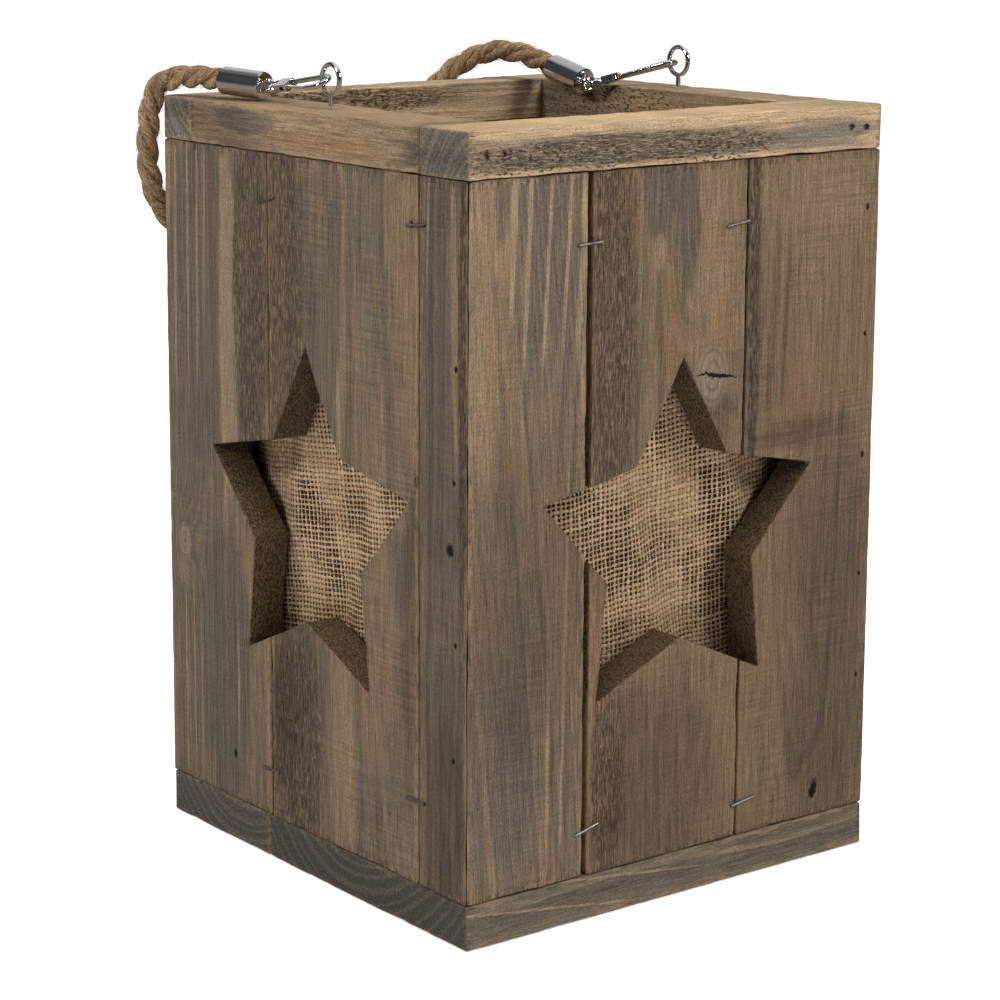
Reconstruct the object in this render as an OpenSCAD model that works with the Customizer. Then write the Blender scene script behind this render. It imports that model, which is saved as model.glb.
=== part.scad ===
/* [Box] */
// Width of the square box over its walls
box_w = 210; // [200:1:230]
// Height of the box from the ground to the top of the rim
box_h = 312; // [300:1:340]
// Thickness of the wall planks
wall_t = 17; // [15:0.5:18]
// Thickness of the base boards
base_t = 18; // [16:0.5:22]

/* [Rim] */
// Height of the rim rails
rim_t = 18; // [16:0.5:22]
// Width of the front rail, seen from above
rim_front_w = 30; // [26:1:34]
// Width of the back rail
rim_back_w = 21; // [20:1:24]
// Width of the left rail
rim_left_w = 32; // [26:1:36]
// Width of the right rail
rim_right_w = 24; // [22:1:30]

/* [Star cut-outs] */
// Distance from a star's centre to its points
star_r = 72.5; // [60:0.5:74]
// Distance from a star's centre to its inner corners
star_notch_r = 39.2; // [30:0.2:42]
// Height of the stars' centres above the ground
star_z = 146; // [140:1:160]

/* [Battens and lining] */
// Thickness of the battens inside the walls
batten_t = 8; // [6:0.5:10]
// Height of the battens
batten_h = 32; // [28:1:36]
// Thickness that the loose lining cloth takes up
lining_t = 4; // [3:0.5:6]

/* [Handle] */
// Diameter of the rope
rope_d = 10; // [9:0.2:10]
// Outer diameter of the rope's end caps
cap_d = 11.5; // [11.4:0.1:11.6]
// Length of the end caps
cap_len = 22; // [20:0.5:24]
// Outer diameter of the screw eyes' rings
eye_d = 14; // [13:0.5:14]
// Wire diameter of the screw eyes
eye_wire = 2; // [1.8:0.1:2]
// Length of a snap hook between its bow's centre and its small eye's centre
hook_len = 33.3; // [33:0.1:33.6]

/* [Candle glass] */
// Outer diameter of the glass
glass_d = 118; // [90:1:120]
// Height of the glass
glass_h = 200; // [150:5:220]
// Wall thickness of the glass
glass_t = 3; // [2:0.5:4]

/* [Hidden] */
$fn = 48;
half = box_w / 2;
rim_z = box_h - rim_t;
wall_h = rim_z - base_t;
lining_half = half - wall_t - batten_t - 1;

// walls are drawn as the front one and turned into place
FRONT = 0;
RIGHT = 90;
BACK = 180;
LEFT = -90;
SIDES = [FRONT, RIGHT, BACK, LEFT];

// plank joints of each wall, [distance right of the middle, width of the gap], seen from outside
front_joints = [[-47, 2.4], [33, 1]];
right_joints = [[-75, 0.6], [18, 1.4]];
back_joints = [[-34, 1], [46.5, 0.8]];
left_joints = [[-27.5, 0.7], [74.5, 0.6]];

// how far each star sits right of the middle of its wall
front_star = 1;
right_star = 1;
back_star = 0;
left_star = -1.5;

// wall staples, [right of the middle, height, tilt in degrees]
front_staples = [[-47.5, 267, 3], [27.5, 269, 8], [-46.5, 37, 14], [36, 32, 9]];
right_staples = [[-73.2, 266, -4], [18, 270, 6], [-73.2, 36, 2], [19, 40, -8]];
back_staples = [[-34, 268, 5], [46, 266, -3], [-33, 38, -6], [47, 34, 4]];
left_staples = [[-27.5, 275, 14], [73.2, 275, 4], [-27.5, 38, 3], [73.2, 52, 1]];
staple_w = 12.4;
staple_wire = 1.1;
staple_leg = 21;

// battens: heights of their lower edges
low_batten_z = base_t + 4;
high_batten_z = 256;
lining_z = [low_batten_z + 2, high_batten_z + batten_h - 2];
lining_staple_x = [-60, 0, 60];
lining_staple_z = [low_batten_z + 9, high_batten_z + batten_h - 9];
lining_leg = 6;

// brads: [distance from the middle] pairs, sunk below the surface
rim_brad_x = [88.5, 96.5];
rim_brad_len = 44;
base_brad_x = 60;
base_brad_len = 32;
brad_d = 1.6;
brad_head_d = 2.6;
brad_sink = 1.4;
clear = 0.05;

// base boards
base_joint_y = 30;
base_joint_gap = 0.4;

// screw eyes: both rings' centres lie on the handle's axis
eye_y = 5;
pivot_z = box_h + 11.5;
eye_r = (eye_d - eye_wire) / 2;
eye_x = [-half + rim_left_w / 2, half - rim_right_w / 2];
eye_depth = 13;

// snap hooks
rod_d = 2.2;
bow_r = 3.8;
loop_r = 3.2;
loop_rod = 2;
gate_rod = 1.4;
gate_pin_d = 1;
gate_pin_p = 24.2;
gate_pin_q = -1.2;
ring_p = -1.2;
link_angle = [-10, -14];

// end caps: where the rope goes in, and the unit direction towards the hook
cap_bore_d = rope_d + 0.2;
cap_end_t = 2.6;
cap_loop_r = 3;
cap_loop_rod = 1.6;
cap_loop_out = 3.9;
right_loop_roll = -40;

left_mouth = [-94.6, 73, 319.4];
left_end = [-89.4, 52, 318.2];
right_mouth = [74.2, 67, 318];
right_end = [74.4, 45.6, 313];

// rope route, from the left cap round behind the back wall to the right cap
rope_route = [
    [-96.8, 82, 319.9], [-99, 91, 320], [-101.5, 100.5, 319], [-104.5, 108.6, 315.6],
    [-107, 111.6, 307], [-108.5, 112, 295], [-108.5, 112, 282], [-104.5, 112, 268],
    [-95.5, 112, 256], [-82, 112, 246], [-66, 112, 240.5], [-49, 112, 239.5],
    [-33, 112, 243], [-18, 112, 250.5], [-4, 112, 261], [9, 112, 273],
    [22, 112, 287], [34, 112, 300], [45, 110.5, 311.5], [54.5, 105.5, 319.5],
    [63, 97, 324], [69.5, 87.5, 323.8], [73.2, 77.5, 321]
];
rope_sides = 12;
rope_steps = 3;
rope_in_cap = cap_len - cap_end_t - 1;

function unit(v) = v / norm(v);

// the point where a hook's bow holds its screw eye's ring, on side i
function link_point(i) = [eye_x[i], eye_y + eye_r * cos(link_angle[i]), pivot_z + eye_r * sin(link_angle[i])];

// an end cap's loop centre, beyond the cap's closed end
function loop_point(mouth, end) = end + cap_loop_out * unit(end - mouth);

left_loop = loop_point(left_mouth, left_end);
right_loop = loop_point(right_mouth, right_end);
left_pull = unit(left_loop - link_point(0));
right_pull = unit(right_loop - link_point(1));
// across each hook, square to its length: the left hook lies rolled over, the right one lies flat
left_across = unit(cross(left_pull, cross([0.85, 0, 0.5], left_pull)));
right_across = unit(cross(right_pull, cross([1, 0.13, 0], right_pull)));

// puts a shape whose X, Y run along the unit vectors a, b at a point
module put(point, a, b) {
    c = cross(a, b);
    multmatrix([
        [a.x, b.x, c.x, point.x],
        [a.y, b.y, c.y, point.y],
        [a.z, b.z, c.z, point.z],
        [0, 0, 0, 1]
    ]) children();
}

// a round rod in the XY plane between two points
module rod(from, to, d) {
    run = to - from;
    translate([from.x, from.y, 0])
        rotate([0, 90, atan2(run.y, run.x)])
            cylinder(d = d, h = norm(run));
}

// part of a ring of round wire in the XY plane
module wire_arc(r, d, start, angle) {
    rotate([0, 0, start])
        rotate_extrude(angle = angle) translate([r, 0]) circle(d = d);
}

module star_2d() {
    polygon([for (i = [0:9])
        let (r = i % 2 == 0 ? star_r : star_notch_r, a = 90 - 36 * i) [r * cos(a), r * sin(a)]]);
}

// a staple with its crown along X and its legs into +Y
module staple(leg) {
    w = staple_w - staple_wire;
    for (x = [-w / 2, w / 2]) {
        translate([x, 0, 0]) rotate([-90, 0, 0]) cylinder(d = staple_wire, h = leg);
        translate([x, 0, 0]) sphere(d = staple_wire);
    }
    translate([-w / 2, 0, 0]) rotate([0, 90, 0]) cylinder(d = staple_wire, h = w);
}

module staple_bores(leg) {
    w = staple_w - staple_wire;
    for (x = [-w / 2, w / 2])
        translate([x, -1, 0]) rotate([-90, 0, 0]) cylinder(d = staple_wire + 2 * clear, h = leg + 1.4);
}

// a headless nail along +Z, and the hole it sits in
module brad(len) {
    cylinder(d = brad_d, h = len);
    cylinder(d = brad_head_d, h = 1);
}

module brad_bore(len) {
    cylinder(d = brad_d + 2 * clear, h = len + 0.4);
    translate([0, 0, -brad_sink - 1]) cylinder(d = brad_head_d + 0.2, h = brad_sink + 2 + 0.1);
}

// Walls, drawn with the outer face at Y = 0, the inside towards +Y and X to the right

module wall_place(side) {
    rotate([0, 0, side]) translate([0, -half, 0]) children();
}

module wall_staples(spots) {
    for (s = spots)
        translate([s.x, -staple_wire / 2, s.y]) rotate([0, -s.z, 0]) staple(staple_leg);
}

module wall_staple_bores(spots) {
    for (s = spots)
        translate([s.x, -staple_wire / 2, s.y]) rotate([0, -s.z, 0]) staple_bores(staple_leg);
}

module base_brad_spots() {
    for (x = [-base_brad_x, base_brad_x]) translate([x, wall_t / 2, brad_sink]) children();
}

// one mitred wall cut to the strip from x0 to x1, with its star and its fixing holes
module plank(x0, x1, star_x, spots) {
    difference() {
        translate([0, 0, base_t]) linear_extrude(wall_h) intersection() {
            polygon([[-half, 0], [half, 0], [half - wall_t, wall_t], [-half + wall_t, wall_t]]);
            translate([x0, -1]) square([x1 - x0, wall_t + 2]);
        }
        translate([star_x, wall_t + 1, star_z]) rotate([90, 0, 0]) linear_extrude(wall_t + 2) star_2d();
        wall_staple_bores(spots);
        base_brad_spots() brad_bore(base_brad_len);
    }
}

// plank number n (0, 1 or 2) of a wall
module wall_plank(side, n, joints, star_x, spots) {
    x0 = n == 0 ? -half : joints[n - 1].x + joints[n - 1].y / 2;
    x1 = n == 2 ? half : joints[n].x - joints[n].y / 2;
    color("#6d5a48") wall_place(side) plank(x0, x1, star_x, spots);
}

// the middle plank of a wall whose star cuts it in two: the half above or below the star's arms
module half_plank(side, joints, star_x, spots, upper) {
    split = star_z + 10;
    intersection() {
        wall_plank(side, 1, joints, star_x, spots);
        translate([-box_w, -box_w, upper ? split : 0]) cube([2 * box_w, 2 * box_w, upper ? box_h : split]);
    }
}

module front_half(upper) { half_plank(FRONT, front_joints, front_star, front_staples, upper); }

module back_half(upper) { half_plank(BACK, back_joints, back_star, back_staples, upper); }

module placed_staples(side, spots) { color("silver") wall_place(side) wall_staples(spots); }

module batten(side, z) {
    long = side == FRONT || side == BACK;
    len = box_w - 2 * wall_t - (long ? 0 : 2 * batten_t);
    spots = side == FRONT ? front_staples : side == RIGHT ? right_staples
        : side == BACK ? back_staples : left_staples;
    color("#8a7359") wall_place(side) difference() {
        translate([-len / 2, wall_t, z]) cube([len, batten_t, batten_h]);
        wall_staple_bores(spots);
        lining_staple_spots() staple_bores(lining_leg + lining_t);
    }
}

module lining_staple_spots() {
    for (x = lining_staple_x, z = lining_staple_z)
        translate([x, wall_t + batten_t + 0.3 + lining_t + staple_wire / 2, z])
            rotate([0, 0, 180]) children();
}

module lining(side) {
    y0 = wall_t + batten_t + 0.3;
    color("#a98a5f") wall_place(side) difference() {
        translate([0, 0, lining_z[0]]) linear_extrude(lining_z[1] - lining_z[0])
            polygon([[-lining_half, y0], [lining_half, y0],
                [lining_half - lining_t, y0 + lining_t], [-lining_half + lining_t, y0 + lining_t]]);
        lining_staple_spots() staple_bores(lining_leg + lining_t);
    }
}

module lining_staples() {
    color("silver") for (side = SIDES) wall_place(side)
        lining_staple_spots() staple(lining_leg + lining_t - 1);
}

// Base

module base_board(y0, y1) {
    color("#6b5a4a") difference() {
        translate([-half, y0, 0]) cube([box_w, y1 - y0, base_t]);
        for (side = SIDES) wall_place(side) base_brad_spots() brad_bore(base_brad_len);
    }
}

module base_front_board() { base_board(-half, base_joint_y - base_joint_gap / 2); }

module base_back_board() { base_board(base_joint_y + base_joint_gap / 2, half); }

module base_brads() {
    color("gray") for (side = SIDES) wall_place(side) base_brad_spots() brad(base_brad_len);
}

// Rim: the front and back rails run the full width, the side rails butt between them

module rim_brad_spots() {
    for (m = [0, 1]) mirror([0, m, 0]) for (k = [-1, 1], x = rim_brad_x)
        translate([k * x, -half + brad_sink, rim_z + rim_t / 2]) rotate([-90, 0, 0]) children();
}

module eye_bores() {
    for (x = eye_x)
        translate([x, eye_y, box_h - eye_depth - 0.5]) cylinder(d = eye_wire + 2 * clear, h = eye_depth + 2);
}

module rail(size_x, size_y, corner) {
    color("#6f5e4c") difference() {
        translate([corner.x, corner.y, rim_z]) cube([size_x, size_y, rim_t]);
        rim_brad_spots() brad_bore(rim_brad_len);
        eye_bores();
    }
}

module rim_front_rail() { rail(box_w, rim_front_w, [-half, -half]); }

module rim_back_rail() { rail(box_w, rim_back_w, [-half, half - rim_back_w]); }

module rim_left_rail() {
    rail(rim_left_w, box_w - rim_front_w - rim_back_w, [-half, -half + rim_front_w]);
}

module rim_right_rail() {
    rail(rim_right_w, box_w - rim_front_w - rim_back_w, [half - rim_right_w, -half + rim_front_w]);
}

module rim_brads() { color("gray") rim_brad_spots() brad(rim_brad_len); }

// Screw eyes: a ring square to the handle's axis on a shank that is screwed into the side rail

module screw_eye(i) {
    color("silver") {
        translate([eye_x[i], eye_y, pivot_z])
            put([0, 0, 0], [0, 1, 0], [0, 0, 1]) wire_arc(eye_r, eye_wire, -90, 340);
        translate([eye_x[i], eye_y, box_h - eye_depth + 3])
            cylinder(d = eye_wire, h = pivot_z - eye_r - box_h + eye_depth - 3);
        translate([eye_x[i], eye_y, box_h - eye_depth]) cylinder(d1 = 0.4, d2 = eye_wire, h = 3);
        translate([eye_x[i], eye_y, box_h]) cylinder(d = eye_wire + 1, h = 0.6);
    }
}

// Snap hooks, drawn along +X from the bow to the small eye

module hook_shape() {
    spine_end = [25, 2];
    joint_d = rod_d + 0.08;
    color("silver") difference() {
        union() {
            wire_arc(bow_r, rod_d, 90, 180);
            rod([0, bow_r], spine_end, rod_d);
            translate([0, bow_r, 0]) sphere(d = joint_d);
            rod([0, -bow_r], [5.4, -bow_r], rod_d);
            translate([5.4, -bow_r, 0]) sphere(d = joint_d);
            translate([hook_len, 0, 0]) wire_arc(loop_r, loop_rod, 0, 360);
            translate([22, -2.6, -1.7]) cube([8, 5.4, 3.4]);
        }
        translate([21, -4, -0.85]) cube([5.8, 5, 1.7]);
        translate([gate_pin_p, gate_pin_q, -3]) cylinder(d = gate_pin_d + 2 * clear, h = 6);
    }
}

module gate_shape() {
    tip = [7.2, -bow_r + 0.2];
    color("silver") difference() {
        union() {
            rod([gate_pin_p - 0.3, gate_pin_q], tip, gate_rod);
            translate([gate_pin_p, gate_pin_q, -0.75]) cylinder(d = 2.4, h = 1.5);
        }
        translate([gate_pin_p, gate_pin_q, -3]) cylinder(d = gate_pin_d + 2 * clear, h = 6);
    }
}

module gate_pin_shape() {
    color("silver") translate([gate_pin_p, gate_pin_q, -1.7]) cylinder(d = gate_pin_d, h = 3.4);
}

module on_left_hook() { put(link_point(0) - ring_p * left_pull, left_pull, left_across) children(); }

module on_right_hook() { put(link_point(1) - ring_p * right_pull, right_pull, right_across) children(); }

// Rope ends: a drawn cap with a wire loop through its closed end

module rope_cap(mouth, end) {
    along = unit(end - mouth);
    color("silver") put(mouth, along, unit(cross([1, 0, 0], along))) rotate([0, 90, 0]) difference() {
        rotate_extrude() polygon([[0, 0], [cap_d / 2 - 0.3, 0], [cap_d / 2, 0.3],
            [cap_d / 2, cap_len - 0.5], [cap_d / 2 - 0.5, cap_len], [0, cap_len]]);
        translate([0, 0, -1]) cylinder(d = cap_bore_d, h = cap_len - cap_end_t + 1);
        cylinder(d = cap_loop_rod + 2 * clear, h = cap_len + 1);
    }
}

// the loop's plane holds the cap's axis; with no roll it lies square to the hook's small eye
module cap_loop(mouth, end, flat, roll) {
    along = unit(end - mouth);
    side = unit(cross(along, cross(flat, along)));
    color("silver") put(end, along, side) rotate([roll, 0, 0]) {
        translate([cap_loop_out, 0, 0]) wire_arc(cap_loop_r, cap_loop_rod, 0, 360);
        translate([-cap_end_t, 0, 0]) rotate([0, 90, 0])
            cylinder(d = cap_loop_rod, h = cap_end_t + cap_loop_out - cap_loop_r);
    }
}

module left_cap_loop() { cap_loop(left_mouth, left_end, cross(left_pull, left_across), 0); }

module right_cap_loop() {
    cap_loop(right_mouth, right_end, cross(right_pull, right_across), right_loop_roll);
}

// Rope: one closed tube swept along its route

function spline(p0, p1, p2, p3, t) = 0.5 * (2 * p1 + (p2 - p0) * t
    + (2 * p0 - 5 * p1 + 4 * p2 - p3) * t * t + (3 * p1 - p0 - 3 * p2 + p3) * t * t * t);

function smooth_path(points, steps) = let (last = len(points) - 1) concat(
    [for (i = [0:last - 1], k = [0:steps - 1])
        spline(points[max(i - 1, 0)], points[i], points[i + 1], points[min(i + 2, last)], k / steps)],
    [points[last]]);

// carries the ring's first direction along the path, so that the tube doesn't twist
function carry(path, i, side) = i == len(path) ? []
    : let (along = unit(path[min(i + 1, len(path) - 1)] - path[max(i - 1, 0)]),
           flat = unit(side - (side * along) * along))
        concat([[path[i], flat, cross(along, flat)]], carry(path, i + 1, flat));

module tube(path, d, sides) {
    rings = carry(path, 0, [0, 0, 1]);
    count = len(rings);
    points = [for (r = rings, k = [0:sides - 1])
        r[0] + d / 2 * (cos(360 * k / sides) * r[1] + sin(360 * k / sides) * r[2])];
    walls = [for (i = [0:count - 2], k = [0:sides - 1]) let (n = (k + 1) % sides)
        [i * sides + k, (i + 1) * sides + k, (i + 1) * sides + n, i * sides + n]];
    ends = [[for (k = [0:sides - 1]) k], [for (k = [sides - 1:-1:0]) (count - 1) * sides + k]];
    polyhedron(points, concat(walls, ends), convexity = 6);
}

module handle_rope() {
    left_in = left_mouth + rope_in_cap * unit(left_end - left_mouth);
    right_in = right_mouth + rope_in_cap * unit(right_end - right_mouth);
    route = concat([left_mouth], rope_route, [right_mouth]);
    color("#8d6f4d") tube(concat([left_in], smooth_path(route, rope_steps), [right_in]), rope_d, rope_sides);
}

// Candle glass: a plain cylinder with a thick foot

module candle_glass() {
    color("#dfe9ea", 0.4) translate([0, 0, base_t]) difference() {
        cylinder(d = glass_d, h = glass_h, $fn = 96);
        translate([0, 0, glass_t + 1]) cylinder(d = glass_d - 2 * glass_t, h = glass_h, $fn = 96);
    }
}

base_front_board();
base_back_board();
base_brads();

wall_plank(FRONT, 0, front_joints, front_star, front_staples);  // front_plank_1
front_half(true);  // front_plank_2_upper
front_half(false);  // front_plank_2_lower
wall_plank(FRONT, 2, front_joints, front_star, front_staples);  // front_plank_3
wall_plank(RIGHT, 0, right_joints, right_star, right_staples);  // right_plank_1
wall_plank(RIGHT, 1, right_joints, right_star, right_staples);  // right_plank_2
wall_plank(RIGHT, 2, right_joints, right_star, right_staples);  // right_plank_3
wall_plank(BACK, 0, back_joints, back_star, back_staples);  // back_plank_1
back_half(true);  // back_plank_2_upper
back_half(false);  // back_plank_2_lower
wall_plank(BACK, 2, back_joints, back_star, back_staples);  // back_plank_3
wall_plank(LEFT, 0, left_joints, left_star, left_staples);  // left_plank_1
wall_plank(LEFT, 1, left_joints, left_star, left_staples);  // left_plank_2
wall_plank(LEFT, 2, left_joints, left_star, left_staples);  // left_plank_3

placed_staples(FRONT, front_staples);  // wall_staples_front
placed_staples(RIGHT, right_staples);  // wall_staples_right
placed_staples(BACK, back_staples);  // wall_staples_back
placed_staples(LEFT, left_staples);  // wall_staples_left

batten(FRONT, low_batten_z);  // batten_front_low
batten(FRONT, high_batten_z);  // batten_front_high
batten(RIGHT, low_batten_z);  // batten_right_low
batten(RIGHT, high_batten_z);  // batten_right_high
batten(BACK, low_batten_z);  // batten_back_low
batten(BACK, high_batten_z);  // batten_back_high
batten(LEFT, low_batten_z);  // batten_left_low
batten(LEFT, high_batten_z);  // batten_left_high

lining(FRONT);  // lining_front
lining(RIGHT);  // lining_right
lining(BACK);  // lining_back
lining(LEFT);  // lining_left
lining_staples();

rim_front_rail();
rim_back_rail();
rim_left_rail();
rim_right_rail();
rim_brads();

screw_eye(0);  // screw_eye_left
screw_eye(1);  // screw_eye_right
on_left_hook() hook_shape();  // hook_left
on_right_hook() hook_shape();  // hook_right
on_left_hook() gate_shape();  // hook_gate_left
on_right_hook() gate_shape();  // hook_gate_right
on_left_hook() gate_pin_shape();  // gate_pin_left
on_right_hook() gate_pin_shape();  // gate_pin_right

rope_cap(left_mouth, left_end);  // rope_cap_left
rope_cap(right_mouth, right_end);  // rope_cap_right
left_cap_loop();  // cap_loop_left
right_cap_loop();  // cap_loop_right
handle_rope();

candle_glass();
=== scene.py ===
import math
import random

import bmesh
import bpy
from mathutils import Matrix, Vector, noise


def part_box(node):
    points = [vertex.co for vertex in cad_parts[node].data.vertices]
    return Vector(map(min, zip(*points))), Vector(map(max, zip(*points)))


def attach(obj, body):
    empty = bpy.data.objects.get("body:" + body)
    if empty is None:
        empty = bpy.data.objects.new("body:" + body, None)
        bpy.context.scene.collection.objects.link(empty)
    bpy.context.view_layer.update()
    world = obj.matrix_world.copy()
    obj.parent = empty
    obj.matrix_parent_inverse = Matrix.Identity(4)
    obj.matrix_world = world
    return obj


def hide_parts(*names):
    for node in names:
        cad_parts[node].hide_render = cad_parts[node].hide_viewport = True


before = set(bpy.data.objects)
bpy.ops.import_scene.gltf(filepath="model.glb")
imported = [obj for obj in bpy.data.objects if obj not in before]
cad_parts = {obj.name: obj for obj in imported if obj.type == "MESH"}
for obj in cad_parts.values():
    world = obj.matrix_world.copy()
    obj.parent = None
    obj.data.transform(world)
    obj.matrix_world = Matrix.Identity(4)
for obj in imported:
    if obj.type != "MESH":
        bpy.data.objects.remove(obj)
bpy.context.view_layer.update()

MM = 0.001

# ---------------------------------------------------------------- camera, floor and light

AIM_AZIMUTH, AIM_DOWN = math.radians(36.495), math.radians(10.671)
camera_data = bpy.data.cameras.new("camera")
camera_data.lens, camera_data.sensor_width = 102.3, 36.0
camera_data.shift_x, camera_data.shift_y = 0.08, -0.10
camera_data.clip_start, camera_data.clip_end = 0.05, 60
camera = bpy.data.objects.new("camera", camera_data)
camera.location = (-0.7271, -0.9165, 0.4065)
forward = Vector((math.sin(AIM_AZIMUTH) * math.cos(AIM_DOWN),
                  math.cos(AIM_AZIMUTH) * math.cos(AIM_DOWN), -math.sin(AIM_DOWN)))
camera.rotation_euler = forward.to_track_quat("-Z", "Y").to_euler()
bpy.context.collection.objects.link(camera)
bpy.context.scene.camera = camera
bpy.context.scene.view_settings.view_transform = "Standard"
bpy.context.scene.cycles.max_bounces = 8


def linear(r, g, b):
    """A colour given as 0-255 sRGB numbers, in the linear values that sockets take."""
    def one(c):
        c /= 255
        return c / 12.92 if c <= 0.04045 else ((c + 0.055) / 1.055) ** 2.4
    return (one(r), one(g), one(b), 1.0)


class Net:
    """Short calls that add shader nodes to a tree and return their output sockets."""

    def __init__(self, tree):
        self.tree = tree

    def node(self, kind, **settings):
        n = self.tree.nodes.new(kind)
        for key, value in settings.items():
            setattr(n, key, value)
        return n

    def feed(self, socket, value):
        if isinstance(value, bpy.types.NodeSocket):
            self.tree.links.new(value, socket)
        elif value is not None:
            socket.default_value = value

    def math(self, op, a, b=None):
        n = self.node("ShaderNodeMath", operation=op)
        for socket, value in zip(n.inputs, (a, b)):
            self.feed(socket, value)
        return n.outputs[0]

    def add(self, a, b):
        return self.math("ADD", a, b)

    def sub(self, a, b):
        return self.math("SUBTRACT", a, b)

    def mul(self, a, b):
        return self.math("MULTIPLY", a, b)

    def highest(self, a, b):
        return self.math("MAXIMUM", a, b)

    def lowest(self, a, b):
        return self.math("MINIMUM", a, b)

    def size(self, value):
        return self.math("ABSOLUTE", value)

    def above(self, value, limit):
        return self.math("GREATER_THAN", value, limit)

    def ratio(self, a, b):
        return self.math("DIVIDE", a, b)

    def centred(self, noise_value):
        """Noise lies round a half; this lies round zero."""
        return self.sub(noise_value, 0.5)

    def distance(self, a, b):
        return self.math("SQRT", self.add(self.mul(a, a), self.mul(b, b)))

    def choose(self, which, at_zero, at_one):
        n = self.node("ShaderNodeMix", data_type="FLOAT")
        for i, value in ((0, which), (2, at_zero), (3, at_one)):
            self.feed(n.inputs[i], value)
        return n.outputs[0]

    def place(self):
        """The point on the piece, in its own metres."""
        return self.node("ShaderNodeTexCoord").outputs["Object"]

    def vec(self, x, y, z):
        n = self.node("ShaderNodeCombineXYZ")
        for socket, value in zip(n.inputs, (x, y, z)):
            self.feed(socket, value)
        return n.outputs[0]

    def split(self, vector):
        n = self.node("ShaderNodeSeparateXYZ")
        self.feed(n.inputs[0], vector)
        return n.outputs

    def dot(self, a, b):
        n = self.node("ShaderNodeVectorMath", operation="DOT_PRODUCT")
        self.feed(n.inputs[0], a)
        self.feed(n.inputs[1], b)
        return n.outputs["Value"]

    def noise(self, vector, scale=1.0, detail=2.0, rough=0.5, colour=False):
        n = self.node("ShaderNodeTexNoise", noise_dimensions="3D")
        self.feed(n.inputs["Vector"], vector)
        for name, value in (("Scale", scale), ("Detail", detail), ("Roughness", rough)):
            self.feed(n.inputs[name], value)
        return n.outputs["Color" if colour else 0]

    def line_noise(self, w):
        n = self.node("ShaderNodeTexNoise", noise_dimensions="1D")
        self.feed(n.inputs["W"], w)
        self.feed(n.inputs["Scale"], 1.0)
        self.feed(n.inputs["Detail"], 1.0)
        return n.outputs[0]

    def smooth(self, value, low, high, to_low=0.0, to_high=1.0):
        n = self.node("ShaderNodeMapRange", interpolation_type="SMOOTHSTEP")
        for socket, v in zip(n.inputs, (value, low, high, to_low, to_high)):
            self.feed(socket, v)
        return n.outputs[0]

    def mix(self, factor, a, b, blend="MIX"):
        n = self.node("ShaderNodeMix", data_type="RGBA", blend_type=blend)
        self.feed(n.inputs["Factor"], factor)
        self.feed(n.inputs[6], a)
        self.feed(n.inputs[7], b)
        return n.outputs[2]

    def scaled(self, colour, factor):
        """The colour times a number that varies over the surface."""
        n = self.node("ShaderNodeVectorMath", operation="SCALE")
        self.feed(n.inputs[0], colour if isinstance(colour, bpy.types.NodeSocket) else colour[:3])
        self.feed(n.inputs["Scale"], factor)
        return n.outputs[0]


def new_material(name):
    """(material, its Net, its Principled node)."""
    m = bpy.data.materials.new(name)
    m.use_nodes = True
    return m, Net(m.node_tree), m.node_tree.nodes["Principled BSDF"]


def finish(shader, roughness=None, specular=None):
    """Sets what is the same all over the surface."""
    if roughness is not None:
        shader.inputs["Roughness"].default_value = roughness
    if specular is not None:
        shader.inputs["Specular IOR Level"].default_value = specular


def bumped(net, shader, height_mm, strength=1.0):
    n = net.node("ShaderNodeBump")
    n.inputs["Strength"].default_value = strength
    n.inputs["Distance"].default_value = MM
    net.feed(n.inputs["Height"], height_mm)
    net.feed(shader.inputs["Normal"], n.outputs[0])


def ray_kinds(net):
    """Whether the room is looked at, straight or through glass, and whether gloss mirrors it."""
    rays = net.node("ShaderNodeLightPath")
    through = rays.outputs["Is Transmission Ray"]
    seen = net.highest(rays.outputs["Is Camera Ray"], through)
    return seen, net.mul(rays.outputs["Is Glossy Ray"], net.sub(1.0, through))


def make_stage():
    mesh = bpy.data.meshes.new("floor")
    far = 30.0
    corners = [(-far, -far, 0), (far, -far, 0), (far, far, 0), (-far, far, 0)]
    mesh.from_pydata(corners, [], [(0, 1, 2, 3)])
    floor = bpy.data.objects.new("floor", mesh)
    floor.location.z = -0.2 * MM
    bpy.context.collection.objects.link(floor)
    material, net, shader = new_material("floor_paper")
    _, in_gloss = ray_kinds(net)
    paper, paper_in_gloss = (0.93, 0.93, 0.93, 1), (0.12, 0.10, 0.08, 1)
    net.feed(shader.inputs["Base Color"], net.mix(in_gloss, paper, paper_in_gloss))
    finish(shader, 0.9, 0.1)
    shader.inputs["Emission Color"].default_value = (1, 1, 1, 1)
    away = net.node("ShaderNodeVectorMath", operation="LENGTH")
    net.feed(away.inputs[0], net.node("ShaderNodeNewGeometry").outputs["Position"])
    glow = net.smooth(away.outputs["Value"], 0.2, 2.4, 0.25, 0.8)
    seen = net.sub(1.0, net.mul(in_gloss, 0.85))
    net.feed(shader.inputs["Emission Strength"], net.mul(glow, seen))
    mesh.materials.append(material)


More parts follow.
